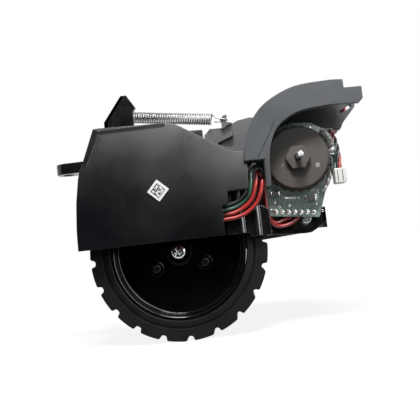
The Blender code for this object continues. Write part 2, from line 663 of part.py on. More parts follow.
def wheel_rim(look, wheel):
    """A moulded dish with a hub, with three screw bosses behind it."""
    barrel = RIM_RADIUS - RIM_WALL
    profile = [(RIM_RADIUS, -8.4), (RIM_RADIUS, 8.0), (barrel, 8.0), (barrel, -3.4), (12.0, -4.0),
               (5.4, -4.2), (5.4, 7.6), (2.8, 7.6), (2.8, -4.8), (1.4, -4.8), (1.4, -6.7), (4.9, -6.7),
               (4.9, -6.0), (12.0, -5.7), (barrel - 1.0, -5.2), (barrel + 0.4, -8.4)]
    made = turned("wheel_rim", WHEEL_AXIS, profile, look, wheel, count=30)
    spots = [around(WHEEL_AXIS, RIM_SCREW_RADIUS, angle) for angle in RIM_SCREW_ANGLES]
    join(made, *[rod(f"rim boss {i}", spot, 3.3, -5.0, 1.0) for i, spot in enumerate(spots)])
    cut(made, *[turned(f"rim screw seat {i}", spot, [(0.0, -8.0), (2.9, -8.0), (2.9, -4.9), (1.3, -4.9),
                                                     (1.3, 0.2), (0.0, 0.2)], count=SMALL_ROUND)
                for i, spot in enumerate(spots)])
    return made, spots


def wheel_shaft(look, wheel):
    profile = [(0.0, 3.4), (1.3, 3.4), (1.3, -4.5), (SHAFT_RADIUS, -4.5), (SHAFT_RADIUS, 33.4), (0.0, 33.4)]
    return turned("wheel_shaft", WHEEL_AXIS, profile, look, wheel, count=24)


def bush(name, low, high, look, arm):
    profile = [(SHAFT_RADIUS + FIT, low), (4.6, low), (4.6, high), (SHAFT_RADIUS + FIT, high)]
    return turned(name, WHEEL_AXIS, profile, look, arm, count=24)


# Motor and encoder


def motor_can(look, arm):
    profile = [(MOTOR_RADIUS, -1.0), (MOTOR_RADIUS, 19.4), (3.1, 19.4), (3.1, 20.8), (1.5, 20.8), (1.5, 18.4),
               (11.2, 18.4), (11.2, -1.0)]
    made = turned("motor_can", MOTOR_AXIS, profile, look, arm)
    threads = [rod(f"motor thread {i}", spot, 1.1, 17.0, 20.0) for i, spot in enumerate(MOTOR_SCREWS)]
    return cut(made, *threads)


def motor_end_cap(look, arm):
    profile = [(1.5, -2.3), (MOTOR_RADIUS, -2.3), (MOTOR_RADIUS, -1.3), (10.9, -1.3), (10.9, 1.6), (9.4, 1.6),
               (9.4, -0.9), (3.0, -0.9), (3.0, 1.2), (1.5, 1.2)]
    return turned("motor_end_cap", MOTOR_AXIS, profile, look, arm)


def magnet(name, middle, look, arm):
    """One of the two curved magnets inside the can."""
    angles = [math.radians(middle - 60 + 15 * i) for i in range(9)]
    outline = [around(MOTOR_AXIS, 10.9, a) for a in angles]
    outline += [around(MOTOR_AXIS, 8.9, a) for a in angles[::-1]]
    return prism(name, outline, 2.6, 16.6, look, MOTOR_AXIS, arm)


def armature(look, rotor):
    """Three wound poles on the motor shaft."""
    outline = []
    for pole in range(3):
        middle = math.tau * pole / 3 + math.radians(90)
        outline += [around(MOTOR_AXIS, 8.4, middle + math.radians(turn)) for turn in (-50, -25, 0, 25, 50)]
        outline.append(around(MOTOR_AXIS, 4.2, middle + math.radians(60)))
    made = prism("armature", outline, 4.2, 15.4, look, MOTOR_AXIS, rotor)
    return cut(made, rod("armature bore", MOTOR_AXIS, 1.4, 0.0, 20.0))


def encoder_wheel(look, rotor):
    """The disc with a hexagonal boss, and the slotted skirt that the light sensor reads."""
    profile = [(1.4, -11.2), (11.4, -11.2), (12.1, -10.6), (12.1, -9.0), (13.0, -9.0), (13.0, -5.4),
               (11.9, -5.4), (11.9, -7.9), (3.2, -9.0), (3.2, -4.9), (1.4, -4.9)]
    made = turned("encoder_wheel", MOTOR_AXIS, profile, look, rotor, count=32)
    boss = prism("encoder boss", circle(MOTOR_AXIS, 4.9, 6, math.radians(-1.4)), -13.2, -10.5)
    slots = []
    for i in range(12):
        middle = math.tau * i / 12
        slots.append(prism(f"skirt slot {i}", [around(MOTOR_AXIS, 11.0, middle - 0.07),
                                               around(MOTOR_AXIS, 14.0, middle - 0.07),
                                               around(MOTOR_AXIS, 14.0, middle + 0.07),
                                               around(MOTOR_AXIS, 11.0, middle + 0.07)], -7.7, -5.0))
    bore = rod("encoder bore", MOTOR_AXIS, 1.4, -15.0, -4.0)
    return cut(join(made, boss), bore, *slots)


def encoder_board(look, arm):
    outline = [(37.9, 9.7), (56.9, 7.3), (60.2, 16.5), (65.3, 25.9), (65.9, 30.3), (65.6, 36.0), (63.2, 41.5),
               (58.0, 45.0), (50.0, 46.2), (42.0, 44.0), (36.9, 38.0), (35.9, 30.0), (36.6, 17.3)]
    made = prism("encoder_board", outline, -4.2, -2.6, look, MOTOR_AXIS, arm)
    return cut(made, rod("board shaft hole", MOTOR_AXIS, 3.6, -8.0, 0.0))


def board_parts(plastic, metal, white, arm):
    """The parts soldered to the front of the board."""
    front = -4.2 - FIT
    origin = (MOTOR_AXIS[0], 0.0, MOTOR_AXIS[1])
    box("board_diode", (38.9, front - 1.7, 17.0), (42.1, front, 19.2), plastic, arm, origin, 0.2)
    box("board_capacitor", (52.3, front - 1.4, 13.9), (56.4, front, 16.4), plastic, arm, origin, 0.2)
    box("light_sensor", (63.3, front - 3.4, 26.8), (64.2, front, 30.4), plastic, arm, origin, 0.1)
    box("board_plug", (63.8, front - 6.0, 19.4), (68.2, front, 25.2), white, arm, origin, 0.3)
    pins = box("solder_pins", (39.2, front - 0.5, 9.3), (55.6, front, 9.9), metal, arm, origin)
    return pins


# Spring and wires


def wire(name, points, radius, look, parent=None, sides=2):
    """A round wire along smooth points, with closed ends."""
    curve = bpy.data.curves.new(name, "CURVE")
    curve.dimensions = "3D"
    curve.bevel_depth = radius * MM
    curve.bevel_resolution = sides
    curve.use_fill_caps = True
    line = curve.splines.new("POLY")
    line.points.add(len(points) - 1)
    for point, place in zip(line.points, points):
        point.co = (*((Vector(place) - EAR_SEAT) * MM), 1.0)
    line.use_smooth = True
    curve.materials.append(look)
    made = bpy.data.objects.new(name, curve)
    bpy.context.scene.collection.objects.link(made)
    if parent:
        made.parent = parent
        made.location = -parent.location
    return made


def tension_spring(look):
    """A closely wound steel spring with a loop at each end, one round the peg and one round the horn."""
    along = (SPRING_RIGHT - SPRING_LEFT).normalized()
    up = Vector((-along.z, 0.0, along.x))
    side = along.cross(up)
    steps = 6
    points = [Vector((-17.4, 13.2, 62.1)), Vector((-19.3, 13.2, 61.2)), Vector((-19.7, 13.2, 59.4)),
              Vector((-18.4, 13.2, 57.8)), Vector((-16.2, 13.2, 57.9)), Vector((-15.0, 13.2, 59.4))]
    for i in range(SPRING_COILS * steps + 1):
        turn = math.tau * i / steps
        middle = SPRING_LEFT.lerp(SPRING_RIGHT, i / (SPRING_COILS * steps))
        points.append(middle + SPRING_RADIUS * (up * math.cos(turn) + side * math.sin(turn)))
    near, far = HORN_Y[0] - FIT - SPRING_WIRE, HORN_Y[1] + FIT + SPRING_WIRE
    points += [Vector((20.0, near, 55.2)), Vector((22.4, near, 54.5)), Vector((24.4, near + 0.3, 54.1)),
               Vector((25.0, (near + far) / 2, 54.0)), Vector((24.4, far - 0.3, 53.9)),
               Vector((22.4, far, 53.8)), Vector((20.2, far - 0.4, 53.8)),
               Vector((19.6, (near + far) / 2, 53.8))]
    return wire("tension_spring", points, SPRING_WIRE, look, sides=0)


def lead(name, route, look):
    return wire(name, route, LEAD_RADIUS, look)


def fender_tail(place):
    """A lead behind the fender, up to its plug. Place counts from below, and odd ones lie deeper."""
    deeper = 0.7 * (place % 2)
    return [(15.5, -12.6, 11.6 + 1.75 * place), (2.0, -12.4, 21.4 + 1.75 * place),
            (-12.0, -11.8 + deeper, 30.4 + 1.8 * place), (-18.0, -10.8 + deeper, 35.2 + 1.9 * place),
            (-22.8, -9.4 + deeper, 39.7 + 1.8 * place)]


def left_leads(red, green, black):
    """Four leads that come out of the opening under the arch and pass the screw posts side by side."""
    routes = {
        "lead_red_1": [(49.0, -1.7, 8.2), (45.2, -2.2, 6.0), (40.8, -3.2, 5.5), (37.7, -5.8, 7.4),
                       (36.5, -7.8, 12.6), (36.4, -8.4, 19.0), (36.2, -10.3, 23.4), (35.9, -12.8, 23.0),
                       (35.2, -13.6, 19.0), (33.4, -13.4, 14.4), (28.0, -13.0, 11.6), (21.5, -12.9, 10.4)],
        "lead_red_2": [(46.0, -1.7, 8.6), (43.0, -1.8, 7.8), (39.8, -2.6, 7.0), (36.8, -4.6, 9.0),
                       (36.2, -6.2, 13.6), (36.1, -6.8, 19.6), (35.4, -8.8, 25.4), (34.7, -11.6, 26.4),
                       (34.0, -13.5, 22.6), (32.5, -13.4, 16.6), (27.6, -13.0, 13.6), (21.5, -12.9, 12.2)],
        "lead_green": [(37.6, -5.2, 21.0), (36.2, -8.2, 28.0), (34.4, -11.4, 29.6), (33.0, -13.4, 26.8),
                       (32.4, -13.4, 22.4), (30.9, -13.3, 18.1), (26.6, -13.0, 15.4), (21.5, -12.9, 14.0)],
        "lead_black": [(36.6, -5.2, 25.5), (35.5, -8.6, 31.2), (33.2, -12.0, 32.0), (31.5, -13.0, 29.0),
                       (31.0, -13.1, 23.6), (29.6, -13.1, 19.4), (26.0, -13.0, 17.2), (21.5, -12.9, 15.8)]}
    looks = {"lead_red_1": red, "lead_red_2": red, "lead_green": green, "lead_black": black}
    for place, (name, route) in enumerate(routes.items()):
        lead(name, route + fender_tail(place), looks[name])


def harness(red, green, black):
    """Four twisted leads from the board's plug, round under the wire bracket, to the socket behind it."""
    middle = [(66.2, -7.9, 26.2), (66.3, -7.8, 30.4), (66.4, -7.2, 34.6), (66.6, -5.4, 37.6),
              (67.0, -1.8, 38.9), (67.8, 2.4, 40.2), (70.0, 5.2, 43.4), (72.4, 5.6, 47.6), (72.9, 5.2, 51.2),
              (71.2, 4.9, 53.4), (68.4, 4.8, 53.6)]
    middle = [Vector(point) for point in middle]
    strands = [("harness_red_1", red), ("harness_green", green), ("harness_black", black),
               ("harness_red_2", red)]
    routes = [[] for _ in strands]
    across = Vector((1.0, 0.0, 0.0))
    for k, point in enumerate(middle):
        ahead = (middle[min(k + 1, len(middle) - 1)] - middle[max(k - 1, 0)]).normalized()
        across = (across - ahead * across.dot(ahead)).normalized()
        for i, route in enumerate(routes):
            turn = math.tau * i / len(strands) + 0.75 * k
            outward = across * math.cos(turn) + ahead.cross(across) * math.sin(turn)
            route.append(point + STRAND_REACH * outward)
    for (name, look), route in zip(strands, routes):
        lead(name, route, look)


def plugs(white, black):
    """The housings at the far ends of the leads."""
    box("lead_plug", (-26.6, -10.5, 38.8), (-23.4, -4.6, 46.0), white, bevel=0.3)
    box("harness_socket", (60.6, 1.8, 48.8), (67.6, 7.8, 56.4), black, bevel=0.3)


# Assembly


def build():
    for old in list(bpy.data.objects):
        bpy.data.objects.remove(old, do_unlink=True)

    black_plastic = material("black plastic", (0.012, 0.012, 0.014), 0.38)
    grey_plastic = material("grey plastic", (0.045, 0.046, 0.05), 0.6)
    gear_plastic = material("white gear plastic", (0.75, 0.74, 0.7), 0.45)
    encoder_plastic = material("encoder plastic", (0.07, 0.062, 0.055), 0.5)
    white_plastic = material("white plastic", (0.8, 0.79, 0.76), 0.45)
    rubber = material("tyre rubber", (0.009, 0.009, 0.01), 0.75)
    steel = material("steel", (0.6, 0.6, 0.6), 0.3, 1.0)
    zinc = material("zinc plated steel", (0.65, 0.66, 0.68), 0.28, 1.0)
    bronze = material("bronze", (0.45, 0.28, 0.12), 0.4, 1.0)
    magnet_grey = material("ferrite", (0.05, 0.05, 0.055), 0.7)
    copper = material("copper winding", (0.5, 0.2, 0.09), 0.4, 1.0)
    board_green = material("board green", (0.03, 0.12, 0.08), 0.35)
    paper = material("label paper", (0.85, 0.85, 0.84), 0.7)
    red = material("red insulation", (0.45, 0.01, 0.01), 0.4)
    green = material("green insulation", (0.01, 0.12, 0.04), 0.4)
    black = material("black insulation", (0.01, 0.01, 0.01), 0.4)

    frame(black_plastic)
    label(paper)
    pivot_pin(zinc)
    pivot_clip(steel)

    arm = axis_empty("arm pivot axis", PIVOT_AXIS)
    wheel = axis_empty("wheel axis", WHEEL_AXIS)
    gear_b_centre = axis_empty("gear B axis", GEAR_B_AXIS)
    gear_a_centre = axis_empty("gear A axis", GEAR_A_AXIS)
    rotor = axis_empty("motor axis", MOTOR_AXIS)

    gearbox_case(grey_plastic, arm)
    gearbox_cover(grey_plastic, arm)
    for i, spot in enumerate(COVER_LUGS):
        screw(f"cover_screw_{i + 1}", spot, COVER_SEAT + 2 * FIT + COVER_THICK, 2.3, 1.6, 1.2, 6.6, zinc, arm,
              side=1)
    rod("gear_b_pin", GEAR_B_AXIS, GEAR_PIN_RADIUS, 11.6, 33.1, steel, arm)
    rod("gear_a_pin", GEAR_A_AXIS, GEAR_PIN_RADIUS, 19.0, 33.1, steel, arm)
    bush("front_bush", 9.8, 13.4, bronze, arm)
    bush("rear_bush", 30.0, 33.5, bronze, arm)
    motor_can(steel, arm)
    motor_end_cap(white_plastic, arm)
    magnet("motor_magnet_right", 0, magnet_grey, arm)
    magnet("motor_magnet_left", 180, magnet_grey, arm)
    for i, spot in enumerate(MOTOR_SCREWS):
        screw(f"motor_screw_{i + 1}", spot, MOTOR_SEAT + WALL, 2.0, 1.3, 0.9, 3.8, zinc, arm, side=1)
    encoder_board(board_green, arm)
    board_parts(black_plastic, zinc, white_plastic, arm)

    tyre(rubber, wheel)
    _, rim_screws = wheel_rim(black_plastic, wheel)
    wheel_shaft(steel, wheel)
    screw("hub_screw", WHEEL_AXIS, -7.0, 2.93, 1.7, 1.0, 9.6, zinc, wheel)
    for i, spot in enumerate(rim_screws):
        screw(f"rim_screw_{i + 1}", spot, -5.2, 2.5, 1.5, 1.0, 5.0, zinc, wheel)
    bore(gear("output_gear", WHEEL_AXIS, LARGE_TEETH, MODULE_SLOW, OUTPUT_PHASE, OUTPUT_GEAR_Y, 1,
              gear_plastic, wheel), WHEEL_AXIS, SHAFT_RADIUS + FIT)

    compound_gear("compound_gear_b",
                  (GEAR_B_AXIS, LARGE_TEETH, MODULE_SLOW, LARGE_B_PHASE, LARGE_B_Y),
                  (GEAR_B_AXIS, SMALL_TEETH, MODULE_SLOW, SMALL_B_PHASE, (SMALL_B_Y[0], LARGE_B_Y[0] + 0.5)),
                  gear_plastic, gear_b_centre)
    compound_gear("compound_gear_a",
                  (GEAR_A_AXIS, GEAR_A_TEETH, MODULE_FAST, LARGE_A_PHASE, LARGE_A_Y),
                  (GEAR_A_AXIS, SMALL_TEETH, MODULE_SLOW, SMALL_A_PHASE, (SMALL_A_Y[0], LARGE_A_Y[0] + 0.5)),
                  gear_plastic, gear_a_centre)
    bore(gear("motor_pinion", MOTOR_AXIS, PINION_TEETH, MODULE_FAST, PINION_PHASE, PINION_Y, 2, bronze,
              rotor), MOTOR_AXIS, 1.4)
    rod("motor_shaft", MOTOR_AXIS, 1.1, -22.5, 31.6, zinc, rotor)
    armature(copper, rotor)
    encoder_wheel(encoder_plastic, rotor)

    tension_spring(zinc)
    left_leads(red, green, black)
    harness(red, green, black)
    plugs(white_plastic, black_plastic)


build()
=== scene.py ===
"""Dresses the wheel drive module of a robot vacuum for a studio picture.

Sizes are in millimetres from the wheel's axle, with +X towards the motor end, +Y towards the middle of the
robot and +Z up. Each finished piece is set in the part's own frame, which starts at the seat on the ear.
"""
import math

import bmesh
import bpy
from mathutils import Matrix, Vector


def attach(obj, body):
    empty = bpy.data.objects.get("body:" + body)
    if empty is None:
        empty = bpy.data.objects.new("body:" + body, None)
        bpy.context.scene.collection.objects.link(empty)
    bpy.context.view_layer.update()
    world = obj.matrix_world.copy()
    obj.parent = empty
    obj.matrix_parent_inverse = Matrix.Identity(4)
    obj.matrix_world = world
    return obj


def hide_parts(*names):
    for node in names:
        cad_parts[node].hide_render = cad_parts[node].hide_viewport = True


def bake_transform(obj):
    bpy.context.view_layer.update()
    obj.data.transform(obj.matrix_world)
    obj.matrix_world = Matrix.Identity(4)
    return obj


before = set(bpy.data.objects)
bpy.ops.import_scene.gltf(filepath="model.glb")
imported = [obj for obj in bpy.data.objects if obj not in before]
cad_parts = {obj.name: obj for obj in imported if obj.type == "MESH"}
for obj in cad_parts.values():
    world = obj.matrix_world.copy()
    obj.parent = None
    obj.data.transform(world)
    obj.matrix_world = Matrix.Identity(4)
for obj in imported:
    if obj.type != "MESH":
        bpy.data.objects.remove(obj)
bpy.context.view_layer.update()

# The frame
# One moulding in black ABS: the fender over the wheel, the ear, the spring's anchor, the arch over the motor
# end, the posts that guide the leads and the yoke of the pivot pin. Its outer corners are rounded over.

MM = 0.001
EAR_SEAT = Vector((-39.0, 0.0, 40.6))


def in_frame(spot):
    """A point in the part's own frame, in metres."""
    return (Vector(spot) - EAR_SEAT) * MM


def around(centre, radius, degrees):
    """A point on a circle in the plane of the wheel, counted from +X towards +Z."""
    turn = math.radians(degrees)
    return (centre[0] + radius * math.cos(turn), centre[1] + radius * math.sin(turn))


def circle(centre, radius, count=48, start=0.0):
    return [around(centre, radius, start + 360.0 * i / count) for i in range(count)]


def smooth(points, steps=6):
    """A smooth line through the given points, with so many steps from each to the next."""
    points = [Vector(point) for point in points]
    row = [2 * points[0] - points[1], *points, 2 * points[-1] - points[-2]]
    line = []
    for a, b, c, d in zip(row, row[1:], row[2:], row[3:]):
        for step in range(steps):
            t = step / steps
            line.append(0.5 * (2 * b + (c - a) * t + (2 * a - 5 * b + 4 * c - d) * t**2
                               + (3 * b - a - 3 * c + d) * t**3))
    return line + [points[-1]]


def set_out(along, u, v, w):
    """A point of an outline, w along the axis that the outline is drawn out on."""
    return {"x": (w, u, v), "y": (u, w, v), "z": (u, v, w)}[along]


def round_over(bm, width, rings=2, corner=40.0):
    """Rounds the edges that are sharper than the corner angle."""
    sharp = [e for e in bm.edges if len(e.link_faces) == 2 and e.calc_face_angle() > math.radians(corner)]
    bmesh.ops.bevel(bm, geom=sharp, offset=width, segments=rings, profile=0.5, affect="EDGES", material=-1,
                    clamp_overlap=True)


def draw_out(bm, way):
    """Draws the faces of a thin mesh out into a solid."""
    moved = bmesh.ops.extrude_face_region(bm, geom=bm.faces[:])["geom"]
    bmesh.ops.translate(bm, verts=[v for v in moved if isinstance(v, bmesh.types.BMVert)], vec=way)
    bmesh.ops.recalc_face_normals(bm, faces=bm.faces)


def oblong(x0, z0, x1, z1):
    return [(x0, z0), (x1, z0), (x1, z1), (x0, z1)]


def plate(outline, start, end, along="y", soft=0.25, rings=2, holes=()):
    """A moulded plate or bar with an outline, drawn out from start to end, with its corners rounded over."""
    bm = bmesh.new()
    for loop in (outline, *holes):
        verts = [bm.verts.new(set_out(along, u, v, start)) for u, v in loop]
        for a, b in zip(verts, verts[1:] + verts[:1]):
            bm.edges.new((a, b))
    if holes:
        bmesh.ops.triangle_fill(bm, use_beauty=True, use_dissolve=False, edges=bm.edges[:])
    else:
        bmesh.ops.contextual_create(bm, geom=bm.edges[:])
    draw_out(bm, set_out(along, 0.0, 0.0, end - start))
    if soft:
        round_over(bm, soft, rings)
    return bm


def gather(*parts):
    """One mesh of several closed shells."""
    whole = bmesh.new()
    for part in parts:
        mesh = bpy.data.meshes.new("shell")
        part.to_mesh(mesh)
        part.free()
        whole.from_mesh(mesh)
        bpy.data.meshes.remove(mesh)
    return whole


def new_object(name, data):
    made = bpy.data.objects.new(name, data)
    bpy.context.scene.collection.objects.link(made)
    return made


def piece(name, bm, look, body, nodes=(), crease=38.0):
    """Sets a finished mesh in the part's frame as a piece that rides on a body and stands for CAD nodes."""
    bmesh.ops.translate(bm, verts=bm.verts, vec=-EAR_SEAT)
    bmesh.ops.scale(bm, verts=bm.verts, vec=(MM, MM, MM))
    mesh = bpy.data.meshes.new(name)
    bm.to_mesh(mesh)
    bm.free()
    for one in look if isinstance(look, (list, tuple)) else [look]:
        mesh.materials.append(one)
    mesh.shade_smooth()
    mesh.set_sharp_from_angle(angle=math.radians(crease))
    made = new_object(name, mesh)
    weighted = made.modifiers.new("flat faces stay flat", "WEIGHTED_NORMAL")
    weighted.keep_sharp = True
    if body:
        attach(made, body)
    if nodes:
        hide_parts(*nodes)
    return made


def frame_piece(name, bm, look, crease=38.0):
    """A piece of the frame's one moulding."""
    piece(name, bm, look, "frame_body", ["frame"], crease)


def feed(tree, node, inputs):
    """Sets a node's inputs, by name or number, each to a value or to the socket that it is linked to."""
    for key, source in dict(inputs).items():
        if isinstance(source, bpy.types.NodeSocket):
            tree.links.new(source, node.inputs[key])
        else:
            node.inputs[key].default_value = source
    return node


def add(tree, kind, inputs=(), **settings):
    """A new shader node."""
    node = tree.nodes.new(kind)
    for key, value in settings.items():
        setattr(node, key, value)
    return feed(tree, node, inputs)


def maths(tree, operation, *terms):
    return add(tree, "ShaderNodeMath", dict(enumerate(terms)), operation=operation).outputs[0]


def ramp(tree, source, low, high, least=0.0, most=1.0):
    """Least where the source is low, most where it is high, and even between them."""
    return add(tree, "ShaderNodeMapRange", dict(enumerate((source, low, high, least, most)))).outputs[0]


def mixed(tree, share, below, above):
    """The colour that is a share of the way from one to another."""
    return add(tree, "ShaderNodeMix", {0: share, 6: below, 7: above}, data_type="RGBA").outputs[2]


COLOUR, NUMBER, VECTOR = "NodeSocketColor", "NodeSocketFloat", "NodeSocketVector"
SURFACE_INPUTS = {
    "Colour": COLOUR, "Cloud Colour": COLOUR, "Cloud Scale": NUMBER, "Grain Scale": NUMBER,
    "Grain Depth": NUMBER, "Rub Colour": COLOUR, "Rub": NUMBER, "Roughness": NUMBER,
    "Roughness Spread": NUMBER, "Corner": NUMBER}
SURFACE_OUTPUTS = {"Colour": COLOUR, "Roughness": NUMBER, "Normal": VECTOR}


def worked_surface():
    """The look that all finishes share: cloudy colour, fine grain, and edges rubbed lighter by handling."""
    group = bpy.data.node_groups.new("worked surface", "ShaderNodeTree")
    for way, sockets in (("INPUT", SURFACE_INPUTS), ("OUTPUT", SURFACE_OUTPUTS)):
        for label, kind in sockets.items():
            group.interface.new_socket(label, in_out=way, socket_type=kind)
    given = group.nodes.new("NodeGroupInput").outputs
    at = add(group, "ShaderNodeTexCoord").outputs["Object"]
    cloud = add(group, "ShaderNodeTexNoise", {
        "Vector": at, "Scale": given["Cloud Scale"], "Detail": 4.0, "Roughness": 0.6}).outputs[0]
    grain = add(group, "ShaderNodeTexNoise", {
        "Vector": at, "Scale": given["Grain Scale"], "Detail": 2.0}).outputs[0]
    soft = add(group, "ShaderNodeBevel", {"Radius": given["Corner"]}, samples=4).outputs[0]
    face = add(group, "ShaderNodeNewGeometry").outputs["Normal"]
    level = add(group, "ShaderNodeVectorMath", {0: soft, 1: face}, operation="DOT_PRODUCT").outputs["Value"]
    worn = maths(group, "MULTIPLY", ramp(group, level, 0.99, 0.8), ramp(group, cloud, 0.4, 0.65, 0.2))
    spread = ramp(group, cloud, 0.35, 0.65)
    body = mixed(group, spread, given["Colour"], given["Cloud Colour"])
    off_middle = maths(group, "SUBTRACT", spread, 0.5)
    bump = add(group, "ShaderNodeBump", {
        "Strength": 1.0, "Distance": given["Grain Depth"], "Height": grain, "Normal": soft})
    feed(group, group.nodes.new("NodeGroupOutput"), {
        "Colour": mixed(group, maths(group, "MULTIPLY", worn, given["Rub"]), body, given["Rub Colour"]),
        "Roughness": maths(group, "MULTIPLY_ADD", off_middle, given["Roughness Spread"], given["Roughness"]),
        "Normal": bump.outputs[0]})
    return group


WORKED_SURFACE = worked_surface()
COAT_ROUGHNESS = 0.15


def start_material(name):
    """A material, its node tree and its shader."""
    made = bpy.data.materials.new(name)
    made.use_nodes = True
    return made, made.node_tree, made.node_tree.nodes["Principled BSDF"]


def finish(name, colour, cloud, cloud_size, grain_size, grain_depth, rub_colour, rub, roughness, spread,
           metallic=0.0, specular=0.5, coat=0.0, corner=0.2):
    """A material with the shared surface. Cloud, grain and corner sizes are in millimetres."""
    made, tree, shader = start_material(name)
    surface = add(tree, "ShaderNodeGroup", {
        "Colour": (*colour, 1.0), "Cloud Colour": (*cloud, 1.0), "Cloud Scale": 1.0 / MM / cloud_size,
        "Grain Scale": 1.0 / MM / grain_size, "Grain Depth": grain_depth * MM,
        "Rub Colour": (*rub_colour, 1.0), "Rub": rub, "Roughness": roughness, "Roughness Spread": spread,
        "Corner": corner * MM}, node_tree=WORKED_SURFACE).outputs
    feed(tree, shader, {
        "Metallic": metallic, "Specular IOR Level": specular, "Coat Weight": coat,
        "Coat Roughness": COAT_ROUGHNESS, "Base Color": surface["Colour"], "Roughness": surface["Roughness"],
        "Normal": surface["Normal"]})
    return made


FENDER_BLACK = finish("fender black", (0.0032, 0.0037, 0.005), (0.0044, 0.005, 0.0068), 26.0, 0.35, 0.006,
                      (0.05, 0.05, 0.055), 0.25, 0.3, 0.1, specular=0.5)
POST_BLACK = finish("post black", (0.004, 0.004, 0.0045), (0.006, 0.006, 0.007), 9.0, 0.4, 0.004,
                    (0.04, 0.04, 0.04), 0.3, 0.22, 0.1)
# Painted sheen: the arch's face is given a grey many times lighter than the rest of the black moulding, for
# the light that its flat face catches.
ARCH_PAINTED_SHEEN = finish("arch grey with painted sheen", (0.074, 0.079, 0.085), (0.1, 0.106, 0.113), 14.0, 0.4, 0.01,
                    (0.17, 0.175, 0.18), 0.5, 0.5, 0.12, specular=0.12)

FENDER_WALL = 1.8
FENDER_LOW, FENDER_HIGH = 4.4, 51.8
FENDER_LEFT, FENDER_RIGHT = -37.6, 31.0
FENDER_BELLY, BELLY_HEIGHT = -16.0, 16.0
FENDER_LEAN, FENDER_TUCK = 5.0 / 37.0**2, 0.7 / 14.0**2
ROOF_TOP = 50.7
ARCH_FRONT, ARCH_BACK = -18.0, 1.5
ARCH_WALL = 1.8


def fender_front(height):
    """Where the fender's outer face stands at a height. It leans back above its belly and tucks in below."""
    rise = height - BELLY_HEIGHT
    return FENDER_BELLY + (FENDER_LEAN if rise > 0 else FENDER_TUCK) * rise**2


def cut_up(bm, direction, low, high, step):
    """Cuts a face into strips, so that it can be bent."""
    count = int((high - low) / step)
    for i in range(1, count + 1):
        spot = Vector(direction) * (low + (high - low) * i / (count + 1))
        bmesh.ops.bisect_plane(bm, geom=bm.verts[:] + bm.edges[:] + bm.faces[:], dist=1e-4, plane_co=spot,
                               plane_no=direction)


def fender_shell():
    """The curved panel with its rolled left edge, the side wall, the roof and the rail under the roof."""
    left = [(FENDER_LEFT, FENDER_LOW), (-37.3, 12.0), (-36.4, 22.7), (-35.0, 32.0), (-34.2, 35.4),
            (-32.8, 38.4), (-27.3, FENDER_HIGH)]
    top = smooth([left[-1], (-11.5, 51.1), (0.6, 50.7), (5.0, 49.3), (9.2, 46.6), (17.7, 40.8), (22.1, 37.7),
                  (25.9, 36.0), (FENDER_RIGHT, 35.1)], 4)[1:]
    right = [(30.6, 31.4), (30.0, 20.9), (22.0, 20.9), (21.3, 16.0), (19.3, 15.5), (19.3, FENDER_LOW)]
    panel = bmesh.new()
    panel.faces.new([panel.verts.new((x, 0.0, z)) for x, z in left + [tuple(p) for p in top] + right])
    cut_up(panel, (0, 0, 1), FENDER_LOW, FENDER_HIGH, 2.5)
    cut_up(panel, (1, 0, 0), FENDER_LEFT, FENDER_RIGHT, 5.0)
    for vert in panel.verts:
        vert.co.y = fender_front(vert.co.z)
    draw_out(panel, (0, FENDER_WALL, 0))

    def on_left(vert):
        x, y, z = vert.co
        return abs(y - fender_front(z)) < 0.01 and any(
            abs((bx - ax) * (z - az) - (bz - az) * (x - ax)) < 0.05 * math.hypot(bx - ax, bz - az)
            and az - 0.01 <= z <= bz + 0.01 for (ax, az), (bx, bz) in zip(left, left[1:]))

    rim = [e for e in panel.edges if all(on_left(v) for v in e.verts) and e.calc_face_angle() > 0.7]
    bmesh.ops.bevel(panel, geom=rim, offset=1.5, segments=4, profile=0.5, affect="EDGES", material=-1,
                    clamp_overlap=True)
    round_over(panel, 0.3, corner=50.0)
    side = plate([(-37.55, 4.4), (-36.35, 22.7), (-34.95, 32.0), (-32.75, 38.4), (-27.3, 51.2), (-25.2, 50.2),
                  (-30.9, 37.7), (-33.4, 31.5), (-35.2, 22.5), (-35.9, 14.0), (-35.9, 4.4)], -14.4, 10.0)
    roof = plate([(-28.0, -12.0), (0.5, -12.0), (1.5, -11.4), (1.5, 10.0), (-14.0, 10.0), (-14.0, 17.0),
                  (-27.4, 17.0)], ROOF_TOP - 2.0, ROOF_TOP, "z")
    rail = plate([(0.0, 50.7), (8.0, 50.2), (14.0, 49.9), (14.0, 45.6), (0.0, 47.8)], 8.0, 10.0)
    return gather(panel, side, roof, rail)


frame_piece("fender_shell", fender_shell(), FENDER_BLACK, crease=30.0)

ear = plate([(-31.5, -4.8), (-31.5, 4.8)] + [around((-42.4, 0.0), 4.7, 90 + 7.5 * i) for i in range(25)],
            36.2, 40.6, "z", 0.35, holes=[circle((-42.6, 0.0), 2.1, 32)])
frame_piece("mounting_ear", ear, POST_BLACK)

anchor_side = [(-27.6, 49.0), (-27.6, 58.1), (-19.4, 68.7)]
frame_piece("spring_anchor", gather(
    plate(anchor_side + [(-16.9, 68.8), (-13.4, 62.9), (-14.7, 61.1), (-14.7, 49.0)], 8.4, 10.4),
    plate(anchor_side + [(-17.4, 68.7), (-25.6, 58.0), (-25.6, 49.0)], 8.4, 17.0),
    plate(circle((-17.4, 60.0), 1.1, 20), 9.4, 15.5)), POST_BLACK)

ARCH_OUTER = [tuple(p) for p in smooth([(29.6, 31.3), (30.9, 38.5), (33.6, 45.4), (39.6, 52.1), (50.6, 57.1),
                                        (63.7, 58.0), (69.8, 57.6)], 8)]
ARCH_INNER = [tuple(p) for p in smooth([(63.0, 48.5), (52.1, 47.4), (44.2, 43.1), (40.4, 36.6),
                                        (39.1, 29.6)], 8)]


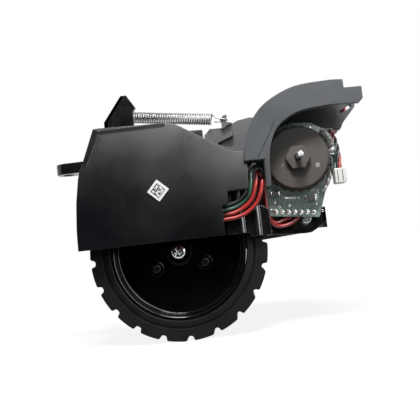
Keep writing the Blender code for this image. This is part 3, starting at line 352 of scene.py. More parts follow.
def inward(line, distance):
    """The same open line moved to its right-hand side."""
    moved = []
    for i, (x, z) in enumerate(line):
        (ax, az), (bx, bz) = line[max(i - 1, 0)], line[min(i + 1, len(line) - 1)]
        length = math.hypot(bx - ax, bz - az)
        moved.append((x + distance * (bz - az) / length, z - distance * (bx - ax) / length))
    return moved


def band(points, width):
    """The outline of a strip along a line."""
    line = [tuple(point) for point in points]
    return inward(line, -width / 2) + inward(line, width / 2)[::-1]


def darker(part):
    """The same shell in the second material of its piece."""
    for face in part.faces:
        face.material_index = 1
    return part


def motor_arch():
    """The curved front, its outer, left and inner walls, the back wall with the wire hole, and a thin band of
    painted shade along the crease.
    """
    behind = ARCH_FRONT + 0.3
    back_rim = [spot for spot in inward(ARCH_OUTER, 0.9)[::-1] if spot[0] < 68.0 and spot[1] > 43.0]
    return gather(
        plate(ARCH_OUTER + [(69.8, 54.4), (76.4, 54.2), (76.4, 49.6), (74.7, 48.0), (72.4, 48.0)] + ARCH_INNER
              + [(38.7, 20.6), (36.7, 20.5), (37.3, 31.0)], ARCH_FRONT, ARCH_FRONT + ARCH_WALL, soft=0.3),
        plate(ARCH_OUTER + inward(ARCH_OUTER, ARCH_WALL)[::-1], behind, ARCH_BACK),
        plate([(38.7, 20.6), (36.7, 20.5), (37.0, 34.0), (39.0, 34.0)], behind, -12.0),
        plate(ARCH_INNER + inward(ARCH_INNER, 1.4)[::-1], behind, -14.0),
        plate([(36.0, 41.0), (41.0, 44.4), (57.0, 44.4), (62.0, 42.6), (69.8, 42.6), (76.6, 50.0),
               (76.6, 52.6), (69.6, 57.4)] + back_rim, -1.5, 1.5,
              holes=[[(70.3, 48.7), (74.6, 51.2), (75.3, 50.1), (71.0, 47.8)]]),
        plate([(57.0, 44.4), (62.0, 42.6), (66.8, 42.6), (66.8, 44.0), (62.4, 44.0), (57.4, 45.8)],
              1.0, 12.0),
        # Painted shade: the crease is a flat band in the darker black, standing for the shade along a fold
        # that the face itself doesn't have.
        darker(plate(band([(43.0, 46.0), (41.6, 43.2), (40.0, 40.3), (37.6, 36.4), (34.9, 32.1)], 0.22),
                     ARCH_FRONT - 0.02, behind, soft=0)))


# The arch's face carries the painted sheen, and its crease the painted shade in the darker black.
frame_piece("motor_arch", motor_arch(), [ARCH_PAINTED_SHEEN, POST_BLACK])

POST_RADIUS = 3.1


def half_post(x, low, high):
    """A round post that is cut flat behind, where the wheel passes."""
    flat = math.degrees(math.acos(-0.7 / POST_RADIUS))
    front = [around((x, -8.9), POST_RADIUS, 270 - flat + 2 * flat * i / 24) for i in range(25)]
    return plate(front, low, high, "z", 0.3)


frame_piece("lead_guide", gather(
    plate([(20.0, 22.3), (20.0, 4.2), (28.6, 4.2), (28.6, 2.6), (37.0, 2.6), (37.0, 12.5), (34.6, 14.2),
           (29.0, 15.0), (29.0, 22.3)], -11.2, -9.6),
    plate(oblong(20.5, 20.9, 29.2, 22.4), -15.0, -9.6),
    half_post(25.2, 4.2, 21.5), half_post(31.4, 2.6, 14.6),
    plate(oblong(35.6, 2.4, 37.4, 4.4), -11.0, 4.2)), POST_BLACK)

PIVOT_AXIS = (52.1, 7.4)
PIVOT_LUG = 6.0


def on_lug(degrees):
    return around(PIVOT_AXIS, PIVOT_LUG, degrees)


pin_hole = circle(PIVOT_AXIS, 2.3, 32)
frame_piece("pivot_yoke", gather(
    plate([(35.6, 2.4), on_lug(262), on_lug(285), on_lug(310), (60.2, 6.0), (60.2, 11.0), on_lug(60),
           on_lug(90), (44.0, 13.2), (41.0, 8.6), (35.6, 8.6)], 0.2, 4.2, holes=[pin_hole]),
    plate(oblong(58.6, 3.0, 60.2, 11.4), 0.2, 29.5),
    plate([on_lug(60 + 12.0 * i) for i in range(21)] + [(60.2, 3.0), (60.2, 11.4)], 25.9, 29.5,
          holes=[pin_hole])), POST_BLACK)

# The label
# A small square paper label, stuck on a corner of the fender. It carries a plain block pattern that follows
# a rule and says nothing.

LABEL_MIDDLE, LABEL_TURN = (-4.3, 24.1), -43.0
LABEL_HALF = 3.04
LABEL_FRONT, LABEL_BACK = -16.4, -16.28
CELL, CELLS = 0.35, 12
PAPER = finish("label paper", (0.86, 0.86, 0.85), (0.8, 0.8, 0.79), 3.0, 0.12, 0.004, (0.6, 0.6, 0.58), 0.5,
               0.62, 0.1, specular=0.3)
INK = finish("label ink", (0.02, 0.02, 0.022), (0.035, 0.035, 0.037), 1.5, 0.1, 0.002, (0.1, 0.1, 0.1), 0.2,
             0.5, 0.1)


def set_down(centre, u, v, degrees):
    """The point (u, v) of a plan that is set down on a centre and turned."""
    turn = math.radians(degrees)
    return (centre[0] + u * math.cos(turn) - v * math.sin(turn),
            centre[1] + u * math.sin(turn) + v * math.cos(turn))


def square(centre, half, degrees):
    return [around(centre, half * math.sqrt(2.0), degrees + 45.0 + 90.0 * i) for i in range(4)]


def is_inked(i, j):
    """The rule of the pattern: two solid sides, two dashed ones, and a scatter between them."""
    last = CELLS - 1
    if i == 0 or j == 0:
        return True
    if i == last or j == last:
        return (i + j) % 2 == 1
    return (i * i + 3 * i * j + 2 * j) % 7 < 3


def label():
    """The paper, and the inked cells just proud of it."""
    sheet = plate(square(LABEL_MIDDLE, LABEL_HALF, LABEL_TURN), LABEL_FRONT, LABEL_BACK, soft=0.03)
    middle = (CELLS - 1) / 2
    spots = [set_down(LABEL_MIDDLE, (i - middle) * CELL, (j - middle) * CELL, LABEL_TURN)
             for i in range(CELLS) for j in range(CELLS) if is_inked(i, j)]
    return gather(sheet, *[darker(plate(square(spot, CELL * 0.5, LABEL_TURN), LABEL_FRONT - 0.02,
                                        LABEL_FRONT + 0.02, soft=0)) for spot in spots])


piece("paper_label", label(), [PAPER, INK], "frame_body", ["fender_label"])

# The pivot pin
# A zinc plated steel pin through the yoke and the arm's barrel, held by a spring clip at its back end.

ZINC = finish("zinc plated steel", (0.62, 0.63, 0.66), (0.5, 0.51, 0.54), 2.5, 0.2, 0.003, (0.85, 0.85, 0.87),
              0.5, 0.26, 0.16, metallic=1.0)
# Painted highlight: the zinc pin's end is given a near white colour without metal, so that it shows as bright
# as a glint of light on it.
PIN_END_PAINTED_GLINT = finish("pin end with painted glint", (0.85, 0.85, 0.86), (0.78, 0.78, 0.8), 1.5, 0.15, 0.01,
                    (0.9, 0.9, 0.9), 0.3, 0.45, 0.1)
STEEL = finish("bright steel", (0.58, 0.58, 0.58), (0.45, 0.45, 0.46), 4.0, 0.25, 0.003, (0.8, 0.8, 0.8), 0.5,
               0.3, 0.16, metallic=1.0)


def carry(look, *names):
    """CAD nodes that are shown as they are, with a finish of their own."""
    for name in names:
        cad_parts[name].data.materials.clear()
        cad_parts[name].data.materials.append(look)


def spun(profile, axis, count, closed):
    """A line of (radius, y) points, turned about an axis along Y."""
    bm = bmesh.new()
    verts = [bm.verts.new((axis[0] + r, y, axis[1])) for r, y in profile]
    edges = [bm.edges.new(pair) for pair in zip(verts, verts[1:] + verts[:1] if closed else verts[1:])]
    bmesh.ops.spin(bm, geom=verts + edges, cent=(axis[0], 0.0, axis[1]), axis=(0, 1, 0), angle=math.tau,
                   steps=count, use_merge=True)
    bmesh.ops.remove_doubles(bm, verts=bm.verts, dist=0.0005)
    return bm


def turned(profile, axis=(0.0, 0.0), count=96):
    """A closed turned piece. Its profile starts on the axis or goes all the way round."""
    bm = spun(profile, axis, count, closed=profile[0][0] > 0)
    bmesh.ops.recalc_face_normals(bm, faces=bm.faces)
    return bm


carry(ZINC, "pivot_pin")
carry(STEEL, "pivot_clip")
# The pin's domed end carries the painted highlight.
pin_end = turned([(0.0, -1.0), (0.55, -0.93), (1.05, -0.7), (1.35, -0.4), (1.4, -0.1), (0.0, -0.1)],
                 PIVOT_AXIS, 32)
piece("pivot_pin_end", pin_end, PIN_END_PAINTED_GLINT, "frame_body")

# The gearbox
# The case and its cover are matt grey mouldings, closed by five screws. Inside run acetal gears on steel
# pins, with sintered bronze bushes for the wheel's shaft.

CASE_GREY = finish("case matt grey", (0.047, 0.048, 0.052), (0.06, 0.062, 0.067), 8.0, 0.45, 0.02,
                   (0.12, 0.12, 0.125), 0.5, 0.62, 0.12, corner=0.4)
ACETAL = finish("natural acetal", (0.78, 0.77, 0.72), (0.7, 0.69, 0.64), 6.0, 0.3, 0.004, (0.86, 0.85, 0.82),
                0.3, 0.42, 0.1)
BRONZE = finish("sintered bronze", (0.42, 0.26, 0.11), (0.3, 0.18, 0.08), 1.2, 0.15, 0.01, (0.6, 0.42, 0.2),
                0.5, 0.45, 0.15, metallic=1.0)
carry(CASE_GREY, "gearbox_case", "gearbox_cover")
carry(ACETAL, "output_gear", "compound_gear_a", "compound_gear_b")
carry(BRONZE, "front_bush", "rear_bush", "motor_pinion")
carry(STEEL, "gear_a_pin", "gear_b_pin", "wheel_shaft")


def cross_outline(axis, long, wide, degrees):
    """The plan of a cross recess, made of one quarter set round the axis four times."""
    arm = [(long, wide), (wide, wide), (wide, long)]
    corners = arm + [(-v, u) for u, v in arm] + [(-u, -v) for u, v in arm] + [(v, -u) for u, v in arm]
    return [set_down(axis, u, v, degrees) for u, v in corners]


def pan_screw(axis, seat, radius, height, shank, length, side=-1, turn=20.0):
    """A pan head screw with a cross recess. The head stands on the seat, on its side of Y."""
    flat = radius * 0.62
    dome = [(flat + (radius - flat) * math.sin(math.radians(a)),
             seat + side * height * (0.45 + 0.55 * math.cos(math.radians(a)))) for a in range(0, 91, 15)]
    tip = seat - side * length
    body = spun(dome + [(radius, seat), (shank, seat), (shank, tip + side * shank), (shank * 0.4, tip)],
                axis, 32, closed=False)
    top = dome[0][1]
    rims = [e for e in body.edges if e.is_boundary]
    crown = [e for e in rims if abs(e.verts[0].co.y - top) < 1e-4]
    bmesh.ops.contextual_create(body, geom=[e for e in rims if e not in crown])
    recess = [body.verts.new((x, top, z)) for x, z in cross_outline(axis, radius * 0.55, radius * 0.13, turn)]
    ring = [body.edges.new(pair) for pair in zip(recess, recess[1:] + recess[:1])]
    bmesh.ops.triangle_fill(body, use_beauty=True, use_dissolve=False, edges=crown + ring)
    sunk = bmesh.ops.extrude_edge_only(body, edges=ring)["geom"]
    floor = [v for v in sunk if isinstance(v, bmesh.types.BMVert)]
    bmesh.ops.translate(body, verts=floor, vec=(0, -side * height * 0.6, 0))
    bmesh.ops.scale(body, verts=floor, vec=(0.7, 1.0, 0.7),
                    space=Matrix.Translation((-axis[0], 0.0, -axis[1])))
    bmesh.ops.contextual_create(body, geom=[e for e in sunk if isinstance(e, bmesh.types.BMEdge)])
    bmesh.ops.recalc_face_normals(body, faces=body.faces)
    return body


WHEEL_AXIS = (0.0, 0.0)
MOTOR_AXIS = (50.3, 30.9)
GEAR_B_AXIS = (14.183, 20.344)
COVER_LUGS = [around(WHEEL_AXIS, 24.9, 225), around(WHEEL_AXIS, 24.9, 150), around(WHEEL_AXIS, 24.9, 300),
              around(GEAR_B_AXIS, 24.5, 121), around(MOTOR_AXIS, 16.7, 91)]
for i, spot in enumerate(COVER_LUGS):
    piece(f"cover_pan_screw_{i + 1}", pan_screw(spot, 34.6, 2.3, 1.6, 1.2, 6.4, 1, 17.0 * i), ZINC,
          "arm_body", [f"cover_screw_{i + 1}"])

# The wheel
# A rubber tyre with a notched tread on a glossy black moulded rim. The rim is held on the shaft by a bright
# pan head screw with purple thread lock, and three black screws sit in its sunken bosses.

RUBBER = finish("tyre rubber", (0.0045, 0.0045, 0.005), (0.007, 0.007, 0.0075), 9.0, 0.5, 0.02,
                (0.03, 0.03, 0.031), 0.5, 0.6, 0.14, specular=0.1)
RIM_BLACK = finish("rim gloss black", (0.0018, 0.0018, 0.002), (0.0026, 0.0026, 0.0028), 14.0, 0.6, 0.002,
                   (0.006, 0.006, 0.006), 0.2, 0.14, 0.06, specular=0.13)
SCREW_BLACK = finish("blackened steel", (0.005, 0.005, 0.0055), (0.009, 0.009, 0.0095), 1.5, 0.2, 0.004,
                     (0.04, 0.04, 0.04), 0.4, 0.42, 0.12, metallic=0.5, specular=0.3)
TYRE_RADIUS, TYRE_HALF = 35.0, 9.0
CARCASS_RADIUS, RIM_RADIUS = 30.1, 26.6
NOTCHES, NOTCH_HALF = 20, 1.2


def notched_tread():
    """The tread from the side: in each pitch a notch with a rounded floor and rounded lips."""
    pitch = 360.0 / NOTCHES
    half = math.degrees(math.asin(NOTCH_HALF / TYRE_RADIUS))
    side = [(TYRE_RADIUS, 1.75), (34.9, 1.42), (34.55, 1.2), (34.0, 1.06), (33.5, 0.92), (33.22, 0.66),
            (33.1, 0.3)]
    outline = []
    for i in range(NOTCHES):
        middle = 2.0 + pitch * i
        outline += [around(WHEEL_AXIS, radius, middle - half * turn) for radius, turn in side]
        outline += [around(WHEEL_AXIS, radius, middle + half * turn) for radius, turn in side[::-1]]
        outline += [around(WHEEL_AXIS, TYRE_RADIUS, middle + half * 1.75 + (pitch - half * 3.5) * part / 5)
                    for part in range(1, 5)]
    return outline


bead = [(26.9, -7.9), (27.3, -8.25), (29.4, -8.25), (30.3, -7.7), (30.3, 7.7), (29.4, 8.25), (27.3, 8.25),
        (26.9, 7.9)]
tyre = gather(plate(notched_tread(), -TYRE_HALF, TYRE_HALF, soft=0.5, rings=3,
                    holes=[circle(WHEEL_AXIS, CARCASS_RADIUS, 120)]), turned(bead, count=120))
piece("notched_tyre", tyre, RUBBER, "wheel_body", ["tyre"])

RIM_SCREW_SPOTS = [around(WHEEL_AXIS, 11.3, angle) for angle in (92, 212, 332)]


def rim():
    """The dish with its rolled lip, the hub and spokes behind, and a collar and boss round each screw."""
    lip = [(25.0, -3.4), (25.0, 8.0), (26.3, 8.0), (RIM_RADIUS, 7.7), (RIM_RADIUS, -8.1), (26.3, -8.4),
           (25.8, -8.4), (25.5, -8.2), (25.1, -7.0), (24.75, -5.9), (24.2, -5.4), (23.4, -5.25)]
    dish = [(18.0, -5.4), (12.0, -5.65), (8.0, -5.85), (5.7, -6.0), (5.2, -6.15), (4.95, -6.5), (4.7, -6.7),
            (1.4, -6.7), (1.4, -4.8), (2.8, -4.8), (2.8, 7.6), (5.4, 7.6), (5.4, -4.2), (12.0, -4.0)]
    collar = [(1.6, -5.7), (1.7, -6.0), (2.7, -6.0), (2.95, -5.75), (2.95, -5.2), (1.6, -5.2)]
    boss = [(1.3, -5.0), (3.3, -5.0), (3.3, 0.8), (3.1, 1.0), (1.3, 1.0)]
    seats = [turned(form, spot, 32) for form in (collar, boss) for spot in RIM_SCREW_SPOTS]
    spokes = []
    for angle in range(32, 392, 60):
        a, b = around(WHEEL_AXIS, 5.2, angle - 8), around(WHEEL_AXIS, 5.2, angle + 8)
        c, d = around(WHEEL_AXIS, 25.2, angle + 1.6), around(WHEEL_AXIS, 25.2, angle - 1.6)
        spokes.append(plate([a, d, c, b], -4.6, -1.0, soft=0.2))
    return gather(turned(lip + dish, count=120), *seats, *spokes)


piece("moulded_rim", rim(), RIM_BLACK, "wheel_body", ["wheel_rim"], crease=32.0)
for i, spot in enumerate(RIM_SCREW_SPOTS):
    piece(f"rim_pan_screw_{i + 1}", pan_screw(spot, -5.1, 1.9, 0.8, 1.0, 4.8, -1, 30.0 * i), SCREW_BLACK,
          "wheel_body", [f"rim_screw_{i + 1}"])


def thread_lock():
    """Bright zinc, with a purple smear of thread lock over the upper part of the head."""
    made = finish("zinc with thread lock", (0.66, 0.66, 0.68), (0.5, 0.5, 0.52), 1.6, 0.15, 0.004,
                  (0.9, 0.9, 0.9), 0.4, 0.22, 0.2, metallic=1.0)
    tree = made.node_tree
    shader = tree.nodes["Principled BSDF"]
    at = add(tree, "ShaderNodeTexCoord").outputs["Object"]
    away = add(tree, "ShaderNodeVectorMath", {0: at, 1: tuple(in_frame((0.7, -8.6, 1.6)))},
               operation="DISTANCE").outputs["Value"]
    ragged = add(tree, "ShaderNodeTexNoise", {"Vector": at, "Scale": 900.0, "Detail": 3.0}).outputs[0]
    smear = maths(tree, "LESS_THAN", away, maths(tree, "MULTIPLY", ragged, 0.0026))
    plain = shader.inputs["Base Color"].links[0].from_socket
    feed(tree, shader, {"Base Color": mixed(tree, smear, plain, (0.11, 0.008, 0.022, 1.0)),
                        "Metallic": maths(tree, "SUBTRACT", 1.0, smear)})
    return made


piece("hub_pan_screw", pan_screw(WHEEL_AXIS, -7.0, 2.93, 1.7, 1.0, 9.4, -1, 38.0), thread_lock(),
      "wheel_body", ["hub_screw"])

# The motor
# A plated steel can with a nylon end cap, two ferrite magnets and a three-pole armature, held by two screws.

NYLON = finish("natural nylon", (0.74, 0.73, 0.69), (0.66, 0.65, 0.6), 3.0, 0.25, 0.006, (0.85, 0.84, 0.8),
               0.3, 0.45, 0.1)
FERRITE = finish("ferrite", (0.05, 0.05, 0.055), (0.035, 0.035, 0.04), 1.5, 0.3, 0.02, (0.1, 0.1, 0.1), 0.4,
                 0.7, 0.1)
COPPER = finish("enamelled copper", (0.45, 0.15, 0.06), (0.3, 0.09, 0.04), 0.7, 0.3, 0.05, (0.6, 0.3, 0.15),
                0.3, 0.35, 0.1, metallic=0.8)
carry(STEEL, "motor_can")
carry(NYLON, "motor_end_cap")
carry(FERRITE, "motor_magnet_left", "motor_magnet_right")
carry(COPPER, "armature")
carry(ZINC, "motor_shaft")
for i, angle in enumerate((90, 270)):
    screw = pan_screw(around(MOTOR_AXIS, 6.8, angle), 21.5, 2.0, 1.3, 0.9, 3.6, 1, 25.0 * i)
    piece(f"motor_pan_screw_{i + 1}", screw, ZINC, "arm_body", [f"motor_screw_{i + 1}"])

# The encoder wheel
# A brown-grey moulded disc pressed on the motor's front shaft, with a hexagonal boss, a small ejector mark
# and a toothed skirt that passes the light sensor.

SCUFF = finish("scuffed plastic", (0.34, 0.32, 0.3), (0.24, 0.22, 0.2), 0.8, 0.2, 0.02, (0.5, 0.48, 0.46),
               0.3, 0.6, 0.1, specular=0.2)
ENCODER_BROWN = finish("encoder brown grey", (0.096, 0.084, 0.076), (0.11, 0.098, 0.088), 7.0, 0.4, 0.008,
                       (0.14, 0.13, 0.12), 0.4, 0.55, 0.1, specular=0.08)


def encoder_wheel():
    """The disc with its boss and toothed skirt, and in the second material the mark and a scratch."""
    disc = turned([(1.4, -10.4), (1.4, -11.2), (11.3, -11.2), (11.75, -11.1), (12.05, -10.8), (12.1, -10.5),
                   (12.1, -8.4), (11.0, -8.2), (3.2, -9.0), (3.2, -4.9), (1.4, -4.9)], MOTOR_AXIS)
    boss = plate(circle(MOTOR_AXIS, 4.9, 6, -1.4), -13.2, -10.9, soft=0.22,
                 holes=[circle(MOTOR_AXIS, 1.4, 24)])
    tooth = ((11.7, -4.6), (12.95, -4.6), (13.0, 0.0), (12.95, 4.6), (11.7, 4.6))
    teeth = [plate([around(MOTOR_AXIS, radius, 15.0 * i + turn) for radius, turn in tooth], -9.2, -5.5,
                   soft=0.12, rings=1) for i in range(24)]
    web = turned([(11.5, -9.4), (12.6, -9.4), (12.6, -8.2), (11.5, -8.2)], MOTOR_AXIS)
    mark = turned([(0.0, -11.24), (0.7, -11.24), (0.8, -11.28), (0.95, -11.24), (0.95, -11.1), (0.0, -11.1)],
                  (57.6, 27.2), 32)
    scratch = plate(band([(43.7, 27.8), (44.2, 28.3), (44.4, 29.2)], 0.3), -11.23, -11.1, soft=0)
    return gather(disc, boss, web, darker(mark), darker(scratch), *teeth)


piece("encoder_disc", encoder_wheel(), [ENCODER_BROWN, SCUFF], "rotor_body",
      ["encoder_wheel"])

# The sensor board
# A green glass fibre board behind the encoder wheel, with copper tracks under the mask, a row of seven
# soldered pads, a few small parts, the light sensor and the nylon plug of the leads.

BOARD_FRONT, BOARD_BACK = -4.2, -2.6
# Painted light: the board's green is two to three times lighter than the mask's own colour, to make up for
# the shade of the encoder wheel and the arch over it.
BOARD_GREEN_PAINTED_LIGHT = finish("board green", (0.29, 0.45, 0.39), (0.4, 0.56, 0.49), 1.6, 0.2, 0.003, (0.2, 0.3, 0.26),
                     0.6, 0.3, 0.1, coat=0.1)
TRACK_GREEN = finish("masked track", (0.45, 0.54, 0.5), (0.52, 0.6, 0.56), 3.0, 0.2, 0.002, (0.4, 0.5, 0.45),
                     0.3, 0.28, 0.08)
SOLDER = finish("solder", (0.66, 0.66, 0.64), (0.45, 0.45, 0.44), 0.8, 0.15, 0.01, (0.85, 0.85, 0.83), 0.4,
                0.22, 0.2, metallic=1.0)
PART_BLACK = finish("part black", (0.012, 0.012, 0.013), (0.02, 0.02, 0.021), 1.5, 0.15, 0.006,
                    (0.08, 0.08, 0.08), 0.5, 0.42, 0.1)
INK_WHITE = finish("board white ink", (0.6, 0.63, 0.6), (0.5, 0.54, 0.5), 1.0, 0.1, 0.003, (0.7, 0.7, 0.7),
                   0.2, 0.6, 0.1)
BOARD_OUTLINE = [(37.9, 9.7), (56.9, 7.3), (60.2, 16.5), (65.3, 25.9), (65.9, 30.3), (65.6, 36.0),
                 (63.2, 41.5), (58.0, 45.0), (50.0, 46.2), (42.0, 44.0), (36.9, 38.0), (35.9, 30.0),
                 (36.6, 17.3)]
board = plate(BOARD_OUTLINE, BOARD_FRONT, BOARD_BACK, soft=0.08, rings=1,
              holes=[circle(MOTOR_AXIS, 3.6, 32)])
piece("sensor_board", board, BOARD_GREEN_PAINTED_LIGHT, "arm_body", ["encoder_board"])

PAD_ROW = [(39.9 + 2.48 * i, 11.25 - 0.305 * i) for i in range(7)]
TRACKS = [
    [PAD_ROW[0], (38.9, 13.6), (39.2, 16.0)], [PAD_ROW[1], (43.0, 14.4), (44.6, 16.4), (44.6, 18.4)],
    [PAD_ROW[2], (45.8, 14.6), (46.0, 17.6)],
    [PAD_ROW[3], (48.4, 14.0), (49.6, 16.2), (52.4, 17.8), (54.0, 20.6)],
    [PAD_ROW[4], (50.4, 13.2), (52.0, 15.0)],
    [PAD_ROW[5], (53.4, 12.2), (57.2, 14.2), (59.4, 19.0), (62.8, 25.0)],
    [PAD_ROW[6], (57.0, 11.6), (58.6, 15.6), (61.4, 21.0), (64.2, 27.0)],
    [(46.8, 15.6), (49.0, 18.4), (55.8, 20.4), (60.4, 24.0), (63.4, 29.6)],
    [(40.4, 20.0), (42.6, 17.8), (46.0, 18.8)], [(58.0, 40.6), (61.0, 38.8), (63.6, 34.6)],
    [(55.0, 43.4), (60.2, 41.4), (63.4, 37.6)], [(37.6, 15.6), (39.8, 13.4), (42.4, 15.6)]]


def on_board(strips, proud):
    """Thin strips on the face of the board, each given by its line and its width."""
    return gather(*[plate(band(line, width), BOARD_FRONT - proud, BOARD_FRONT + 0.1, soft=0)
                    for line, width in strips])


piece("board_tracks", on_board([(track, 0.32) for track in TRACKS], 0.03), TRACK_GREEN, "arm_body")


def white_print():
    """Stretches of a ring round the encoder wheel, and brackets at both ends of the two parts."""
    strips = [([around(MOTOR_AXIS, 14.5, angle) for angle in range(first, last + 1, 2)], width)
              for first, last, width in ((-50, -14, 0.9), (-10, 4, 0.5), (8, 44, 0.8), (150, 176, 0.5))]
    for x0, x1, z0, z1 in ((38.3, 42.7, 16.7, 19.5), (51.7, 57.0, 13.6, 16.7)):
        strips += [([(x0 + 0.9, z0), (x0, z0), (x0, z1), (x0 + 0.9, z1)], 0.22),
                   ([(x1 - 0.9, z1), (x1, z1), (x1, z0), (x1 - 0.9, z0)], 0.22)]
    return strips


piece("board_print", on_board(white_print(), 0.04), INK_WHITE, "arm_body")


def on_face(profile):
    """A turned profile with its depths counted from the face of the board."""
    return [(radius, BOARD_FRONT + y) for radius, y in profile]


def solder_row():
    """Seven pads with a domed joint and the stub of a pin in each."""
    joint = on_face([(0.0, -0.95), (0.24, -0.9), (0.3, -0.55), (0.5, -0.3), (0.8, -0.14), (0.9, 0.05),
                     (0.0, 0.05)])
    joints = []
    for spot in PAD_ROW:
        joints += [plate(circle(spot, 0.98, 20, 9.0), BOARD_FRONT - 0.05, BOARD_FRONT + 0.1, soft=0),
                   turned(joint, spot, 20)]
    return gather(*joints)


piece("solder_joints", solder_row(), SOLDER, "arm_body", ["solder_pins"])


def chip(x0, x1, z0, z1, height, cap):
    """A small part with its body and two tinned ends."""
    front = BOARD_FRONT - height
    body = plate(oblong(x0 + cap, z0, x1 - cap, z1), front, BOARD_FRONT - 0.05, soft=0.1)
    ends = [darker(plate(oblong(a, z0 + 0.1, b, z1 - 0.1), front + 0.15, BOARD_FRONT - 0.02, soft=0.08))
            for a, b in ((x0, x0 + cap + 0.1), (x1 - cap - 0.1, x1))]
    return gather(body, *ends)


piece("diode", chip(38.7, 42.3, 17.0, 19.2, 1.6, 0.5), [PART_BLACK, SOLDER], "arm_body",
      ["board_diode"])
piece("capacitor", chip(52.1, 56.6, 13.9, 16.4, 1.4, 0.6), [PART_BLACK, SOLDER], "arm_body",
      ["board_capacitor"])
piece("light_gate", plate(oblong(63.3, 26.8, 64.2, 30.4), -7.9, BOARD_FRONT - 0.05, soft=0.15), PART_BLACK,
      "arm_body", ["light_sensor"])


def small_parts():
    """The row of fine pins, and the tinned holes of the board."""
    row = [plate(oblong(x, z, x + 0.35, z + 0.9), BOARD_FRONT - 0.3, BOARD_FRONT + 0.05, soft=0.05)
           for x, z in [(43.9 + 0.62 * i, 15.7 - 0.06 * i) for i in range(6)]]
    holes = [(47.9, 16.1), (49.6, 15.9), (53.2, 18.2), (54.9, 18.2), (57.6, 17.4), (40.0, 14.9), (38.3, 12.2),
             (58.4, 9.6), (61.6, 22.2), (59.9, 40.2), (57.4, 43.2), (43.3, 19.6), (44.9, 19.2), (55.4, 18.3),
             (61.8, 25.2), (63.0, 24.0), (41.6, 12.9), (56.4, 12.6), (45.6, 13.2)]
    ring = on_face([(0.22, -0.06), (0.5, -0.06), (0.5, 0.05), (0.22, 0.05)])
    return gather(*row, *[turned(ring, hole, 16) for hole in holes])


piece("tinned_holes", small_parts(), SOLDER, "arm_body")


def plug_housing():
    """The nylon housing of the plug, with its polarising ribs."""
    x0, x1, y0, y1, z0, z1 = 63.8, 68.2, -10.5, -4.5, 19.4, 25.2
    body = plate([(x0, z0), (x1 - 0.7, z0 - 0.1), (x1, z0 + 0.6), (x1, z1), (x0, z1)], y0, y1, soft=0.3,
                 rings=3)
    ribs = [plate(oblong(x, z0 + 0.6, x + 0.5, z1 - 0.6), y0, y0 + 0.6, soft=0.12)
            for x in (x0 + 0.9, x0 + 2.8)]
    return gather(body, *ribs)


piece("plug_housing", plug_housing(), NYLON, "arm_body", ["board_plug"])
carry(NYLON, "lead_plug")
carry(PART_BLACK, "harness_socket")

# The spring
# A closely wound tension spring in bright wire. Its left loop sits on the anchor's peg and its right loop
# goes round the horn of the gearbox, so it stretches as the arm swings up.

SPRING_STEEL = finish("spring wire", (0.26, 0.26, 0.27), (0.19, 0.19, 0.2), 3.0, 0.2, 0.002, (0.5, 0.5, 0.5),
                      0.3, 0.28, 0.12, metallic=1.0, corner=0.02)


def tube(name, points, radius, look, nodes=(), steps=5, sides=3):
    """A round wire along a smooth line, with closed ends."""
    curve = bpy.data.curves.new(name, "CURVE")
    curve.dimensions = "3D"
    curve.bevel_depth = radius * MM
    curve.bevel_resolution = sides
    curve.use_fill_caps = True
    route = smooth(points, steps)
    line = curve.splines.new("POLY")
    line.points.add(len(route) - 1)
    for knot, spot in zip(line.points, route):
        knot.co = (*in_frame(spot), 1.0)
    holder = new_object(name + "_line", curve)
    mesh = bpy.data.meshes.new_from_object(holder.evaluated_get(bpy.context.evaluated_depsgraph_get()))
    bpy.data.objects.remove(holder)
    bpy.data.curves.remove(curve)
    mesh.name = name
    mesh.materials.clear()
    mesh.materials.append(look)
    mesh.shade_smooth()
    made = new_object(name, mesh)
    if nodes:
        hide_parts(*nodes)
    return made


SPRING_LEFT, SPRING_RIGHT = Vector((-13.8, 13.2, 59.5)), Vector((18.2, 13.2, 54.75))
COILS, STEPS_PER_COIL, COIL_RADIUS = 45, 14, 2.27


def spring_line():
    """The loop on the peg, the coils, and the loop round the neck of the horn."""
    along = (SPRING_RIGHT - SPRING_LEFT).normalized()
    up = Vector((-along.z, 0.0, along.x))
    side = along.cross(up)
    start = SPRING_LEFT - 1.6 * along
    first_loop = [(-17.4, 13.2, 62.0), (-19.0, 13.2, 61.1), (-19.4, 13.2, 59.4), (-18.3, 13.2, 57.9),
                  (-16.8, 13.2, 58.4)]
    last_loop = [(20.0, 12.8, 55.2), (22.4, 12.8, 54.5), (24.4, 13.1, 54.1), (25.0, 14.2, 54.0),
                 (24.4, 15.3, 53.9), (22.4, 15.6, 53.8), (20.2, 15.2, 53.8), (19.6, 14.2, 53.8)]
    winding = []
    for i in range(COILS * STEPS_PER_COIL + 1):
        turn = math.tau * i / STEPS_PER_COIL
        middle = start.lerp(SPRING_RIGHT, i / (COILS * STEPS_PER_COIL))
        winding.append(middle + COIL_RADIUS * (up * math.cos(turn) + side * math.sin(turn)))
    return smooth(first_loop, 4) + winding + smooth(last_loop, 4)


spring = tube("coil_spring", spring_line(), 0.25, SPRING_STEEL, ["tension_spring"], steps=1,
              sides=2)
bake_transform(spring)

# The leads
# Stranded leads with red, green and black insulation. Four pass behind the fender and the posts to the motor,
# and four twisted ones go from the board's plug up behind the arch.

RED = finish("red insulation", (0.46, 0.022, 0.018), (0.34, 0.014, 0.012), 4.0, 0.3, 0.006, (0.6, 0.1, 0.08),
             0.2, 0.38, 0.12)
GREEN = finish("green insulation", (0.008, 0.075, 0.04), (0.006, 0.05, 0.028), 4.0, 0.3, 0.006,
               (0.05, 0.2, 0.12), 0.2, 0.4, 0.12)
BLACK = finish("black insulation", (0.008, 0.008, 0.009), (0.014, 0.014, 0.015), 4.0, 0.3, 0.006,
               (0.05, 0.05, 0.05), 0.2, 0.4, 0.12)
LEAD_RADIUS = 0.78


